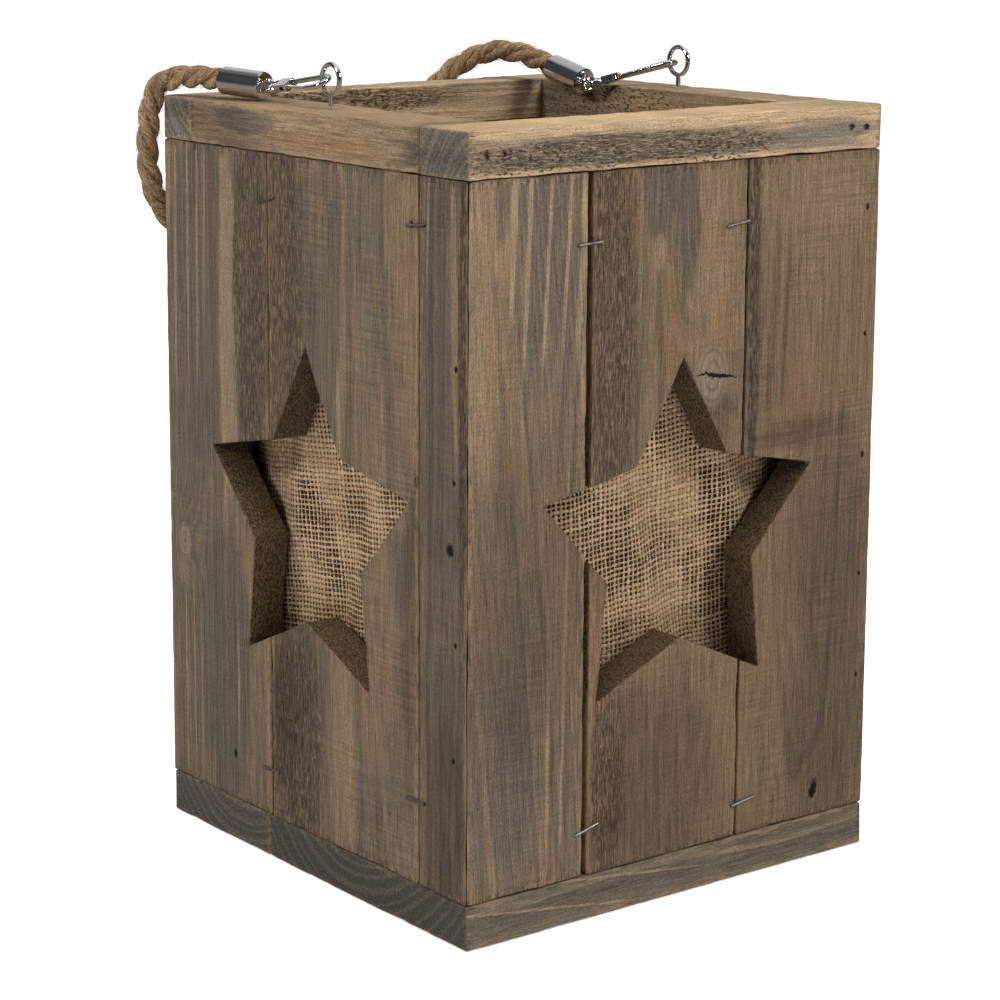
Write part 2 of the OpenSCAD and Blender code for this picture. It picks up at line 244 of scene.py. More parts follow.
def make_lights():
    world = bpy.data.worlds.new("studio")
    bpy.context.scene.world = world
    world.use_nodes = True
    net = Net(world.node_tree)
    background = world.node_tree.nodes["Background"]
    seen, in_gloss = ray_kinds(net)
    # in gloss the room is dark, with a white backdrop behind the object and a bright ceiling panel
    heading = net.split(net.node("ShaderNodeTexCoord").outputs["Generated"])
    behind = net.add(net.mul(heading[0], 0.6), net.mul(heading[1], 0.8))
    backdrop = net.mul(net.smooth(behind, 0.45, 0.75), net.smooth(heading[2], -0.1, 0.05))
    panel = net.mul(net.smooth(heading[2], 0.72, 0.95), 0.9)
    room = net.add(0.05, net.add(net.mul(backdrop, 0.5), panel))
    level = net.add(net.mul(seen, 0.82), 0.22)
    net.feed(background.inputs["Strength"], net.choose(in_gloss, level, room))
    background.inputs["Color"].default_value = (1, 1, 1, 1)
    target = Vector((0, 0, 0.15))
    for name, place, size, power in (
        ("front", (0.38, -1.42, 1.15), (0.38, 0.38), 18.5),
        ("left", (-1.46, 0.24, 1.12), (0.38, 0.38), 17),
        ("above", (-0.62, -0.62, 1.9), (0.8, 0.8), 15),
        ("top", (0.0, 0.1, 1.8), (1.4, 1.0), 24),
    ):
        data = bpy.data.lights.new(name, "AREA")
        data.shape, (data.size, data.size_y), data.energy = "RECTANGLE", size, power
        lamp = bpy.data.objects.new(name, data)
        lamp.location = place
        lamp.rotation_euler = (target - Vector(place)).to_track_quat("-Z", "Y").to_euler()
        lamp.visible_camera = False
        lamp.visible_glossy = name in ("front", "left")
        bpy.context.collection.objects.link(lamp)


make_stage()
make_lights()

# ---------------------------------------------------------------- shared mesh helpers


def make_piece(name, verts, faces, material, body, replaces=()):
    """A new mesh object in metres that rides on a body."""
    mesh = bpy.data.meshes.new(name)
    mesh.from_pydata([tuple(v) for v in verts], [], faces)
    return finish_piece(name, mesh, material, body, replaces)


def finish_piece(name, mesh, material, body, replaces):
    mesh.validate()
    mesh.update()
    for polygon in mesh.polygons:
        polygon.use_smooth = True
    mesh.materials.clear()
    mesh.materials.append(material)
    piece = bpy.data.objects.new(name, mesh)
    bpy.context.collection.objects.link(piece)
    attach(piece, body)
    if replaces:
        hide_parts(*replaces)
    return piece


def unit(v):
    return Vector(v).normalized()


# ---------------------------------------------------------------- rope

ROPE_D = 10.0
LEFT_MOUTH, LEFT_END = Vector((-94.6, 73, 319.4)), Vector((-89.4, 52, 318.2))
RIGHT_MOUTH, RIGHT_END = Vector((74.2, 67, 318)), Vector((74.4, 45.6, 313))
ROPE_ROUTE = [
    (-96.8, 82, 319.9), (-99, 91, 320), (-101.5, 100.5, 319), (-104.5, 108.6, 315.6),
    (-107, 111.6, 307), (-108.5, 112, 295), (-108.5, 112, 282), (-104.5, 112, 268),
    (-95.5, 112, 256), (-82, 112, 246), (-66, 112, 240.5), (-49, 112, 239.5),
    (-33, 112, 243), (-18, 112, 250.5), (-4, 112, 261), (9, 112, 273),
    (22, 112, 287), (34, 112, 300), (45, 110.5, 311.5), (54.5, 105.5, 319.5),
    (63, 97, 324), (69.5, 87.5, 323.8), (73.2, 77.5, 321),
]
ROPE_IN_CAP = 18.4


def catmull(points, steps):
    last = len(points) - 1
    path = []
    for i in range(last):
        p0, p1, p2, p3 = (points[max(i - 1, 0)], points[i], points[i + 1], points[min(i + 2, last)])
        for k in range(steps):
            t = k / steps
            path.append(0.5 * (2 * p1 + (p2 - p0) * t + (2 * p0 - 5 * p1 + 4 * p2 - p3) * t * t
                               + (3 * p1 - p0 - 3 * p2 + p3) * t ** 3))
    return path + [points[last]]


def evenly(path, step):
    """The path's points, respaced."""
    total = sum((b - a).length for a, b in zip(path, path[1:]))
    count = max(2, round(total / step))
    spaced, walked, i = [path[0].copy()], 0.0, 0
    for n in range(1, count):
        want = total * n / count
        while walked + (path[i + 1] - path[i]).length < want:
            walked += (path[i + 1] - path[i]).length
            i += 1
        spaced.append(path[i].lerp(path[i + 1], (want - walked) / (path[i + 1] - path[i]).length))
    return spaced + [path[-1].copy()], total


def frames(path):
    """(point, side, up, along) along a path, turning with it as little as it can."""
    side, out = Vector((0, 0, 1)), []
    for i, p in enumerate(path):
        along = (path[min(i + 1, len(path) - 1)] - path[max(i - 1, 0)]).normalized()
        side = (side - side.dot(along) * along).normalized()
        out.append((p, side, along.cross(side), along))
    return out


def tube_rings(rings):
    """(verts, faces) of a closed tube from its rings of points."""
    verts = [p for ring in rings for p in ring]
    n = len(rings[0])
    faces = [(i * n + k, i * n + (k + 1) % n, (i + 1) * n + (k + 1) % n, (i + 1) * n + k)
             for i in range(len(rings) - 1) for k in range(n)]
    faces += [tuple(range(n - 1, -1, -1)), tuple(range(len(verts) - n, len(verts)))]
    return verts, faces


def joined(shapes):
    """(verts, faces) of several shapes in one list of points."""
    verts, faces = [], []
    for points, sides in shapes:
        start = len(verts)
        verts += points
        faces += [tuple(start + i for i in side) for side in sides]
    return verts, faces


def rope_material():
    depth_mm = 0.4
    material, net, shader = new_material("jute_laid")
    uv = net.node("ShaderNodeUVMap", uv_map="lay")
    around, along, _ = net.split(uv.outputs[0])
    mm = net.node("ShaderNodeVectorMath", operation="SCALE")
    net.feed(mm.inputs[0], net.place())
    mm.inputs["Scale"].default_value = 1000
    # yarns run steeply across each strand, fibres run along the yarns
    yarn = net.add(around, net.mul(along, 0.045))
    fibre = net.noise(net.vec(net.mul(yarn, 34.0), net.mul(along, 0.16), 0.0),
                      detail=3.0, rough=0.65)
    bundle = net.noise(net.vec(net.mul(yarn, 9.0), net.mul(along, 0.10), 3.0), detail=2.0)
    blotch = net.noise(mm.outputs[0], scale=0.11, detail=3.0)
    speck = net.noise(mm.outputs[0], scale=1.3, detail=2.0)
    colour = net.mix(net.smooth(bundle, 0.3, 0.7), linear(118, 94, 69), linear(164, 137, 106))
    colour = net.mix(net.smooth(fibre, 0.36, 0.62), linear(84, 63, 44), colour)
    colour = net.mix(net.smooth(fibre, 0.6, 0.8), colour, linear(196, 174, 146))
    colour = net.scaled(colour, net.smooth(blotch, 0.3, 0.7, 0.82, 1.08))
    colour = net.mix(net.smooth(speck, 0.56, 0.68), colour, linear(66, 48, 33))
    net.feed(shader.inputs["Base Color"], colour)
    finish(shader, 0.92, 0.08)
    bumped(net, shader, net.add(net.mul(fibre, depth_mm), net.mul(speck, depth_mm * 0.6)))
    return material


def make_rope():
    """Three laid strands with their yarns as real relief, and loose fibres standing off them."""
    left_in = LEFT_MOUTH + ROPE_IN_CAP * unit(LEFT_END - LEFT_MOUTH)
    right_in = RIGHT_MOUTH + ROPE_IN_CAP * unit(RIGHT_END - RIGHT_MOUTH)
    route = [LEFT_MOUTH] + [Vector(p) for p in ROPE_ROUTE] + [RIGHT_MOUTH]
    path, total = evenly([left_in] + catmull(route, 8) + [right_in], 0.9)
    in_left = ROPE_IN_CAP / total * (len(path) - 1)
    middles = frames(path)
    strand_r, centre_r, lay, sides, yarns, yarn_lay = 2.55, 2.37, 33.0, 26, 6, 9.0
    strands, uvs = [], []
    for strand in range(3):
        turn = [2 * math.pi * (strand / 3 - i * total / (len(path) - 1) / lay)
                for i in range(len(path))]
        line = [p + centre_r * (math.cos(a) * s + math.sin(a) * u)
                for (p, s, u, _), a in zip(middles, turn)]
        rings = []
        for i, (point, (p, s, u, along)) in enumerate(zip(line, middles)):
            out = (point - p).normalized()
            over = along.cross(out)
            walked = i * total / (len(path) - 1)
            ring = []
            for k in range(sides):
                a = 2 * math.pi * k / sides
                wave = abs(math.sin(0.5 * (yarns * a + 2 * math.pi * walked / yarn_lay)))
                lump = noise.noise(Vector((strand * 9.1, walked * 0.13, a * 0.6)))
                r = strand_r * (0.9 + 0.1 * wave ** 0.7) + 0.10 * lump
                ring.append(point + r * (math.cos(a) * out + math.sin(a) * over))
            rings.append(ring)
        strands.append(tube_rings(rings))
        uvs += [(k / sides, i * total / (len(path) - 1)) for i in range(len(path)) for k in range(sides)]
    verts, faces = joined(strands)
    rope = make_piece("rope", [v * MM for v in verts], faces, rope_material(),
                      "handle", ["handle_rope"])
    layer = rope.data.uv_layers.new(name="lay")
    for loop in rope.data.loops:
        layer.data[loop.index].uv = uvs[loop.vertex_index]
    # where the tube closes on itself, the first column counts as the last
    for polygon in rope.data.polygons:
        us = [layer.data[i].uv for i in polygon.loop_indices]
        if len(us) == 4 and max(u[0] for u in us) - min(u[0] for u in us) > 0.5:
            for u in us:
                if u[0] < 0.5:
                    u[0] += 1.0

    rng = random.Random(11)
    fibre_count, knots, tubes = 3000, 5, []
    for _ in range(fibre_count):
        i = rng.randrange(int(in_left) + 4, len(path) - int(in_left) - 5)
        p, s, u, along = middles[i]
        a = rng.uniform(0, 2 * math.pi)
        out = math.cos(a) * s + math.sin(a) * u
        over = along.cross(out)
        way = (along * rng.choice((-1, 1)) * rng.uniform(0.4, 1.2) + over * rng.uniform(-0.6, 0.6)
               + out * rng.choice((0.05, 0.1, 0.6)) * rng.uniform(0.3, 1.3)).normalized()
        length = rng.uniform(1.6, 5.5)
        r = rng.uniform(0.05, 0.10)
        point = p + out * (ROPE_D / 2 - 0.7)
        curl = out * rng.uniform(-0.25, 0.16) + over * rng.uniform(-0.3, 0.3)
        rings = []
        for n in range(knots):
            t1 = way.cross(out).normalized()
            t2 = way.cross(t1)
            rr = r * (1 - 0.75 * n / (knots - 1))
            rings.append([point + rr * (math.cos(b) * t1 + math.sin(b) * t2)
                          for b in (0, 2 * math.pi / 3, 4 * math.pi / 3)])
            point = point + way * length / (knots - 1)
            way = (way + curl).normalized()
        tubes.append(tube_rings(rings))
    verts, faces = joined(tubes)
    fibres = make_piece("rope_fibres", [v * MM for v in verts], faces, fibre_material(),
                        "handle")


def fibre_material():
    material, net, shader = new_material("jute_fibre")
    tone = net.noise(net.place(), scale=420.0, detail=1.0)
    net.feed(shader.inputs["Base Color"],
             net.mix(net.smooth(tone, 0.35, 0.65), linear(112, 87, 60), linear(196, 170, 134)))
    finish(shader, 0.8, 0.3)
    return material


make_rope()

# ---------------------------------------------------------------- timber

WARM, COOL, BROWN = linear(152, 125, 94), linear(115, 103, 86), linear(109, 90, 67)
SLATE, STRAW, RUST = linear(103, 94, 82), linear(172, 143, 109), linear(152, 114, 76)
PALE, DARK, END = linear(168, 146, 118), linear(54, 42, 29), linear(80, 74, 65)
# CUT, for the star's cut faces, is a darker brown that is partly painted shade
CUT, WORN = linear(108, 88, 60), linear(176, 144, 106)

# kinds of mark on a board, and how soft the outline of each is
MARK_KINDS = {"Light": 0.8, "Grey": 0.2, "Tan": 0.25, "Rust": 0.6, "Torn": 0.35, "Dark": 0.7,
              "Pitted": 0.3, "Hole": 0.3}


def marked(net, group, u, w, marks):
    """Feeds the group one mask per kind of mark. A mark is (kind, across, along, half width, half
    length, lean), in millimetres, upright without a lean. Noise frays all but holes, mostly along
    the grain."""
    fray = net.noise(net.vec(net.mul(u, 0.6), 0.0, net.mul(w, 0.02)), detail=3.0, rough=0.6)
    sway = net.noise(net.vec(net.mul(u, 0.06), 5.0, net.mul(w, 0.03)), detail=2.0)
    masks = {}
    for kind, at_u, at_w, half_u, half_w, *lean in marks:
        off_w = net.sub(w, at_w)
        off_u = net.sub(net.sub(u, at_u), net.mul(off_w, lean[0] if lean else 0))
        if kind != "Hole":
            off_u = net.add(off_u, net.mul(net.centred(sway), min(half_u, 6.0)))
            off_w = net.add(off_w, net.mul(net.centred(fray), min(half_w, 50.0)))
        off_u, off_w = net.mul(off_u, 1 / half_u), net.mul(off_w, 1 / half_w)
        away = net.distance(off_u, off_w)
        if kind == "Hole":
            ragged = net.centred(net.noise(net.vec(u, at_u, w), scale=1.4))
            away = net.add(away, net.mul(ragged, 1.6))
        soft = MARK_KINDS[kind]
        mask = net.smooth(away, 1 - soft, 1 + soft, 1.0, 0.0)
        masks[kind] = net.highest(masks[kind], mask) if kind in masks else mask
    for kind, mask in masks.items():
        net.feed(group.inputs[kind], mask)


def timber_group():
    """The node group that every wooden piece shares. Places are in millimetres from the piece's
    own corner: Across, Depth and Along the grain."""
    tree = bpy.data.node_groups.new("timber", "ShaderNodeTree")
    numbers = {"Across": 0, "Depth": 0, "Along": 0, "End": 0, "Cut": 0, "Seed": 0, "Spacing": 4,
               "Warmth": 0.5, "Late": 0.4, "Rough": 0.3, "Saw": 0.3, "Value": 1.0, "Wander": 11.0}
    numbers.update(dict.fromkeys(MARK_KINDS, 0))

    def socket(name, kind, way="INPUT"):
        return tree.interface.new_socket(name, in_out=way, socket_type="NodeSocket" + kind)

    for name, value in numbers.items():
        socket(name, "Float").default_value = value
    for name in ("Size", "Pith", "Tilt", "Knot 1", "Knot 2"):
        socket(name, "Vector")
    for name, kind in (("Color", "Color"), ("Roughness", "Float"), ("Height", "Float")):
        socket(name, kind, "OUTPUT")
    net = Net(tree)
    given = net.node("NodeGroupInput").outputs
    result = net.node("NodeGroupOutput").inputs
    u, v, w, seed = given["Across"], given["Depth"], given["Along"], given["Seed"]
    shift = net.mul(seed, 37.7)

    def field(across, along, offset=0.0, **options):
        """Noise stretched along the grain: its size across and along, in millimetres."""
        x = net.add(net.mul(u, 1 / across), net.add(shift, offset))
        y = net.mul(v, 1 / across)
        z = net.mul(w, 1 / along)
        return net.noise(net.vec(x, y, z), **options)

    wander = net.split(field(70, 190, 5.0, detail=2.0, colour=True))
    wobble = net.centred(field(7, 60, 9.0, detail=2.0))
    knot_mask, crack, push, knot_share = 0.0, 0.0, None, 99.0
    crack_line = net.mul(net.centred(field(2.6, 400, 17.0, detail=2.0)), 4.5)
    for name in ("Knot 1", "Knot 2"):
        ku, kw, kr = net.split(given[name])
        du, dw = net.sub(u, ku), net.sub(w, kw)
        near = net.math("SQRT", net.add(net.mul(du, du), net.mul(net.mul(dw, dw), 0.4)))
        share = net.ratio(near, net.highest(kr, 0.1))
        flow = net.mul(net.math("EXPONENT", net.mul(net.mul(share, share), -0.16)), net.mul(kr, 2.3))
        push = flow if push is None else net.add(push, flow)
        inside = net.mul(net.smooth(share, 0.75, 1.15, 1.0, 0.0), net.above(kr, 0.1))
        knot_share = net.lowest(knot_share, share)
        knot_mask = net.highest(knot_mask, inside)
        along_crack = net.ratio(net.size(net.sub(du, 2.5)), kr)
        reach = net.smooth(along_crack, 0.2, 1.7, 0.8, 0.0)
        line = net.add(net.add(dw, crack_line), net.mul(du, 0.14))
        opened = net.math("LESS_THAN", net.size(line), reach)
        crack = net.highest(crack, net.mul(opened, net.above(kr, 6.0)))

    pu, pv, _ = net.split(given["Pith"])
    tu, tv, _ = net.split(given["Tilt"])
    cu, cv = (net.sub(net.add(at, net.mul(net.centred(shift_by), given["Wander"])),
                      net.add(pith, net.mul(tilt, w)))
              for at, shift_by, pith, tilt in ((u, wander[0], pu, tu), (v, wander[1], pv, tv)))
    radius = net.distance(cu, cv)
    radius = net.add(net.add(radius, net.mul(wobble, 1.8)), push)
    phase = net.ratio(radius, given["Spacing"])
    stripe = net.line_noise(net.add(net.mul(phase, 0.8), net.mul(seed, 3.1)))
    phase = net.add(phase, net.mul(net.line_noise(net.add(net.mul(phase, 0.45), seed)), 1.6))
    saw_tooth = net.math("FRACT", phase)
    late = net.mul(net.smooth(saw_tooth, 0.45, 0.86), net.smooth(saw_tooth, 0.9, 1.0, 1.0, 0.0))

    fine = field(0.6, 16, 1.0, detail=3.0, rough=0.7)
    coarse = field(1.3, 60, 2.0, detail=3.0, rough=0.55)
    patch = field(24, 90, 3.0, detail=3.0)
    zone = field(16, 150, 4.0, detail=1.0)
    torn = field(0.62, 5.0, 6.0, detail=3.0, rough=0.6)
    across_lines = net.noise(net.vec(net.add(shift, net.mul(u, 0.03)), net.mul(v, 0.02),
                                     net.add(net.mul(w, 0.8), net.mul(u, 0.004))), detail=2.0, rough=0.7)
    saw_zone = field(40, 45, 7.0, detail=1.0)
    holes = field(1.1, 2.0, 8.0, detail=1.0)

    warm = net.add(net.add(net.mul(net.centred(stripe), 1.0), net.mul(net.centred(patch), 1.5)),
                   given["Warmth"])
    colour = net.mix(net.smooth(warm, 0.25, 0.75), COOL, WARM)
    colour = net.mix(net.mul(net.smooth(coarse, 0.38, 0.64), 0.5), colour, BROWN)
    for kind, strength, tint in (("Light", 0.45, STRAW), ("Grey", 0.8, SLATE), ("Tan", 0.7, STRAW),
                                 ("Rust", 0.42, RUST)):
        colour = net.mix(net.mul(given[kind], strength), colour, tint)
    colour = net.mix(net.mul(late, given["Late"]), colour, PALE)
    own_rough = net.smooth(net.add(zone, net.centred(given["Rough"])), 0.42, 0.62)
    rough_zone = net.highest(given["Torn"], net.mul(own_rough, 0.8))
    tear = net.mul(net.smooth(torn, 0.46, 0.60), rough_zone)
    colour = net.mix(net.mul(rough_zone, 0.35), colour, BROWN)
    colour = net.mix(net.mul(tear, 0.58), colour, DARK)
    colour = net.mix(net.mul(net.smooth(torn, 0.32, 0.42, 0.45, 0.0), rough_zone), colour, PALE)
    colour = net.scaled(colour, net.smooth(given["Dark"], 0.0, 1.0, 1.0, 0.66))
    scored = net.mul(net.mul(net.centred(net.smooth(across_lines, 0.35, 0.66)),
                             net.smooth(saw_zone, 0.42, 0.6)), given["Saw"])
    grit = field(0.5, 1.1, 15.0, detail=2.0, rough=0.75)
    colour = net.scaled(colour, net.smooth(fine, 0.25, 0.75, 0.62, 1.32))
    colour = net.scaled(colour, net.smooth(grit, 0.25, 0.75, 0.66, 1.34))
    colour = net.scaled(colour, net.add(net.mul(scored, 0.42), 1.0))

    # knots: a grey core with faint rings, and a dark crack across a large one
    core = net.mix(net.smooth(coarse, 0.35, 0.65), linear(142, 127, 108), linear(174, 157, 132))
    core = net.scaled(core, net.smooth(grit, 0.25, 0.75, 0.75, 1.25))
    core = net.scaled(core, net.smooth(net.math("SINE", net.mul(knot_share, 17.0)), 0.0, 1.0, 1.0, 0.62))
    core = net.mix(net.smooth(knot_share, 0.05, 0.14, 0.8, 0.0), core, DARK)
    colour = net.mix(net.mul(knot_mask, 0.7), colour, core)
    # painted shade: nail holes and the knot's crack are painted near black for the shade inside them
    colour = net.mix(net.highest(crack, given["Hole"]), colour, linear(30, 22, 16))

    # end grain takes up more stain; the star's cut faces are painted darker, partly for the stain their
    # rough sawn wood takes up and partly as painted shade inside the star's opening
    end = given["End"]
    end_line = net.mix(net.mul(late, 0.32), END, linear(128, 114, 95))
    end_colour = net.scaled(end_line, net.smooth(field(1.1, 5.0, 12.0, detail=3.0), 0.3, 0.7, 0.62, 1.2))
    colour = net.mix(end, colour, end_colour)
    cut_patch, cut_grit = field(1.2, 4.0, 18.0, detail=3.0), field(0.75, 1.3, 13.0, detail=3.0)
    cut_colour = net.mix(net.smooth(cut_patch, 0.54, 0.74), CUT, linear(142, 112, 72))
    cut_colour = net.scaled(cut_colour, net.smooth(cut_grit, 0.36, 0.64, 0.36, 1.8))
    colour = net.mix(given["Cut"], colour, cut_colour)

    # worn arrises: the second smallest distance to the piece's sides
    su, sv, sw = net.split(given["Size"])
    gaps = [net.lowest(a, net.sub(b, a)) for a, b in ((u, su), (v, sv), (w, sw))]
    low = net.lowest(gaps[0], gaps[1])
    high = net.highest(gaps[0], gaps[1])
    arris = net.highest(low, net.lowest(high, gaps[2]))
    ragged = field(2.2, 7.0, 10.0, detail=3.0)
    reach = net.mul(net.smooth(ragged, 0.35, 0.7), 2.6)
    worn = net.mul(net.smooth(net.sub(arris, reach), -0.2, 0.7, 1.0, 0.0), net.smooth(patch, 0.3, 0.6))
    colour = net.mix(net.mul(worn, net.smooth(end, 0.0, 1.0, 0.5, 0.15)), colour, WORN)
    # torn, dirty ends where a plank meets the next piece
    tooth = net.mul(net.smooth(field(0.9, 60, 11.0, detail=2.0), 0.42, 0.72), 3.2)
    bitten = net.mul(net.smooth(net.sub(gaps[2], tooth), -0.2, 0.8, 1.0, 0.0),
                     net.sub(1.0, net.highest(end, given["Cut"])))
    colour = net.mix(net.mul(bitten, 0.45), colour, DARK)

    # painted shade: pits are painted dark for the shade inside them
    pit = net.mul(net.smooth(holes, 0.58, 0.63), given["Pitted"])
    colour = net.mix(net.mul(pit, 0.85), colour, DARK)
    colour = net.scaled(colour, net.mul(given["Value"], 0.66))
    net.feed(result["Color"], colour)
    net.feed(result["Roughness"], net.smooth(fine, 0.2, 0.8, 0.88, 0.70))
    height = net.add(net.mul(late, 0.10), net.mul(fine, 0.16))
    height = net.add(height, net.mul(coarse, 0.12))
    height = net.sub(height, net.mul(tear, 0.32))
    height = net.sub(height, net.mul(pit, 0.6))
    height = net.add(height, net.mul(scored, 0.07))
    height = net.sub(height, net.mul(bitten, 0.3))
    height = net.add(height, net.mul(net.highest(end, given["Cut"]),
                                     net.mul(field(0.7, 1.5, 14.0, detail=3.0), 0.5)))
    height = net.sub(height, net.mul(net.highest(crack, given["Hole"]), 0.8))
    height = net.add(height, net.mul(grit, 0.10))
    net.feed(result["Height"], height)
    return tree


TIMBER = timber_group()
VECTORS = {"pith": "Pith", "tilt": "Tilt", "knot1": "Knot 1", "knot2": "Knot 2"}


def timber_material(name, corner, across, depth, along, size, star=None, marks=(), **look):
    """Pine whose grain frame is given in metres: a corner and three unit directions. look sets the
    group's inputs, star is the cut-out's (across, along) centre in millimetres. A wall plank's
    marks lie on its (across, along) face, and any other board's on its (depth, along) face."""
    material, net, shader = new_material(name)
    geometry = net.node("ShaderNodeNewGeometry")
    place = net.node("ShaderNodeVectorMath", operation="SUBTRACT")
    net.feed(place.inputs[0], net.place())
    place.inputs[1].default_value = corner
    group = net.node("ShaderNodeGroup", node_tree=TIMBER)
    grain = {socket: net.dot(place.outputs[0], tuple(1000 * a for a in axis))
             for socket, axis in (("Across", across), ("Depth", depth), ("Along", along))}
    for socket, value in grain.items():
        net.feed(group.inputs[socket], value)
    if marks:
        marked(net, group, grain["Across" if star else "Depth"], grain["Along"], marks)
    turn = net.node("ShaderNodeVectorTransform", vector_type="NORMAL",
                    convert_from="WORLD", convert_to="OBJECT")
    net.feed(turn.inputs[0], geometry.outputs["Normal"])
    facing = net.size(net.dot(turn.outputs[0], tuple(along)))
    group.inputs["Size"].default_value = size
    if star:
        edge_on = net.smooth(net.size(net.dot(turn.outputs[0], tuple(depth))), 0.5, 0.3)
        du, dw = net.sub(grain["Across"], star[0]), net.sub(grain["Along"], star[1])
        within = net.smooth(net.distance(du, dw), STAR_R + 3.5, STAR_R + 1.5)
        net.feed(group.inputs["Cut"], net.mul(edge_on, within))
        net.feed(group.inputs["End"], net.mul(net.smooth(facing, 0.55, 0.8), net.sub(1.0, within)))
    else:
        net.feed(group.inputs["End"], net.smooth(facing, 0.55, 0.8))
    for key, value in look.items():
        if key in ("pith", "tilt"):
            value = (*value, 0)
        group.inputs[VECTORS.get(key, key.capitalize())].default_value = value
    net.feed(shader.inputs["Base Color"], group.outputs["Color"])
    net.feed(shader.inputs["Roughness"], group.outputs["Roughness"])
    finish(shader, specular=0.25)
    bumped(net, shader, group.outputs["Height"])
    return material


# sizes of the CAD model, in millimetres
BOX_W, BOX_H, WALL_T, BASE_T, RIM_T = 210.0, 312.0, 17.0, 18.0, 18.0
RIM_FRONT_W, RIM_BACK_W, RIM_LEFT_W, RIM_RIGHT_W = 30.0, 21.0, 32.0, 24.0
STAR_R, STAR_NOTCH_R, STAR_Z = 72.5, 39.2, 146.0
HALF, RIM_Z = BOX_W / 2, BOX_H - RIM_T
WALL_H = RIM_Z - BASE_T
BATTEN_T, BATTEN_H = 8.0, 32.0
BASE_JOINT_Y = 30.0


def wall_matrix(side):
    """From a wall's own millimetres (right, inwards, up) to the CAD frame's."""
    return Matrix.Rotation(math.radians(side), 4, "Z") @ Matrix.Translation((0, -HALF, 0))


def prism(near, far, far_up=False):
    """A closed bmesh between two matching rings of points."""
    bm = bmesh.new()
    near, far = ([bm.verts.new(p) for p in ring] for ring in (near, far))
    for cap in ((near[::-1], far) if far_up else (near, far[::-1])):
        bm.faces.new(cap)
    for i in range(len(near)):
        j = (i + 1) % len(near)
        bm.faces.new((near[i], near[j], far[j], far[i]))
    bmesh.ops.recalc_face_normals(bm, faces=bm.faces[:])
    return bm


def solid(points, z0, z1):
    """A bmesh prism of a plan outline, counter-clockwise from above."""
    return prism([(x, y, z0) for x, y in points], [(x, y, z1) for x, y in points], far_up=True)


def to_object(bm, name):
    mesh = bpy.data.meshes.new(name)
    bm.to_mesh(mesh)
    bm.free()
    made = bpy.data.objects.new(name, mesh)
    bpy.context.collection.objects.link(made)
    return made


def cut_away(bm, cutter):
    """bm less the cutter, both bmeshes, exactly."""
    body, tool = to_object(bm, "cut"), to_object(cutter, "cut_tool")
    modifier = body.modifiers.new("cut", "BOOLEAN")
    modifier.operation, modifier.object, modifier.solver = "DIFFERENCE", tool, "EXACT"
    mesh = bpy.data.meshes.new_from_object(body.evaluated_get(bpy.context.evaluated_depsgraph_get()))
    result = bmesh.new()
    result.from_mesh(mesh)
    for o in (body, tool):
        old = o.data
        bpy.data.objects.remove(o)
        bpy.data.meshes.remove(old)
    bpy.data.meshes.remove(mesh)
    return result


def star_prism(x):
    """The cutter for a wall's star, centred at x, in the wall's millimetres."""
    points = []
    for i in range(10):
        r, a = (STAR_R if i % 2 == 0 else STAR_NOTCH_R), math.radians(90 - 36 * i)
        points.append((x + r * math.cos(a), STAR_Z + r * math.sin(a)))
    past = 2
    return prism([(px, -past, pz) for px, pz in points],
                 [(px, WALL_T + past, pz) for px, pz in points])


def weather(bm, seed, round_by, wear):
    """Rounds the arrises, adds a grid of points and wears the wood a little, unevenly."""
    step, sharp, split_over = 5.0, math.radians(25), 25
    edges = [e for e in bm.edges if len(e.link_faces) == 2 and e.calc_face_angle() > sharp]
    bmesh.ops.bevel(bm, geom=edges, offset=round_by, segments=2, profile=0.5, affect="EDGES",
                    clamp_overlap=True)
    low = [min(v.co[k] for v in bm.verts) for k in range(3)]
    high = [max(v.co[k] for v in bm.verts) for k in range(3)]
    for k in (0, 1, 2):
        span = high[k] - low[k]
        if span < split_over:
            continue
        count = int(span / step)
        for i in range(1, count):
            place, normal = [0, 0, 0], [0, 0, 0]
            place[k], normal[k] = low[k] + span * i / count, 1
            bmesh.ops.bisect_plane(bm, geom=bm.verts[:] + bm.edges[:] + bm.faces[:], dist=0.0001,
                                   plane_co=place, plane_no=normal)
    bm.normal_update()
    offset = Vector((seed * 17.3, seed * 5.1, seed * 9.7))
    moves = []
    for v in bm.verts:
        on_arris = min((v.normal.dot(f.normal) for f in v.link_faces), default=1) < 0.985
        slow = noise.noise(v.co * 0.045 + offset)
        fast = noise.noise(v.co * 0.21 + offset)
        if on_arris:
            depth = wear * max(0.0, 0.12 + 0.75 * slow + 0.55 * fast)
        else:
            depth = 0.05 + 0.10 * slow
        moves.append((v, -v.normal * depth))
    for v, move in moves:
        v.co += move
    return bm


def weighted(piece):
    modifier = piece.modifiers.new("normals", "WEIGHTED_NORMAL")
    modifier.keep_sharp = False
    modifier.weight = 50


def place_mesh(bm, matrix, name):
    """The bmesh in its place in the CAD frame, in metres."""
    bm.transform(Matrix.Scale(MM, 4) @ matrix)
    mesh = bpy.data.meshes.new(name)
    bm.to_mesh(mesh)
    bm.free()
    return mesh


def axes(matrix):
    turn = matrix.to_3x3()
    return tuple(turn @ Vector(a) for a in ((1, 0, 0), (0, 1, 0), (0, 0, 1)))


FRONT, RIGHT, BACK, LEFT = 0, 90, 180, -90
WALLS = {
    "front": (FRONT, [(-47, 2.4), (33, 1)], 1),
    "right": (RIGHT, [(-75, 0.6), (18, 1.4)], 1),
    "back": (BACK, [(-34, 1), (46.5, 0.8)], 0),
    "left": (LEFT, [(-27.5, 0.7), (74.5, 0.6)], -1.5),
}

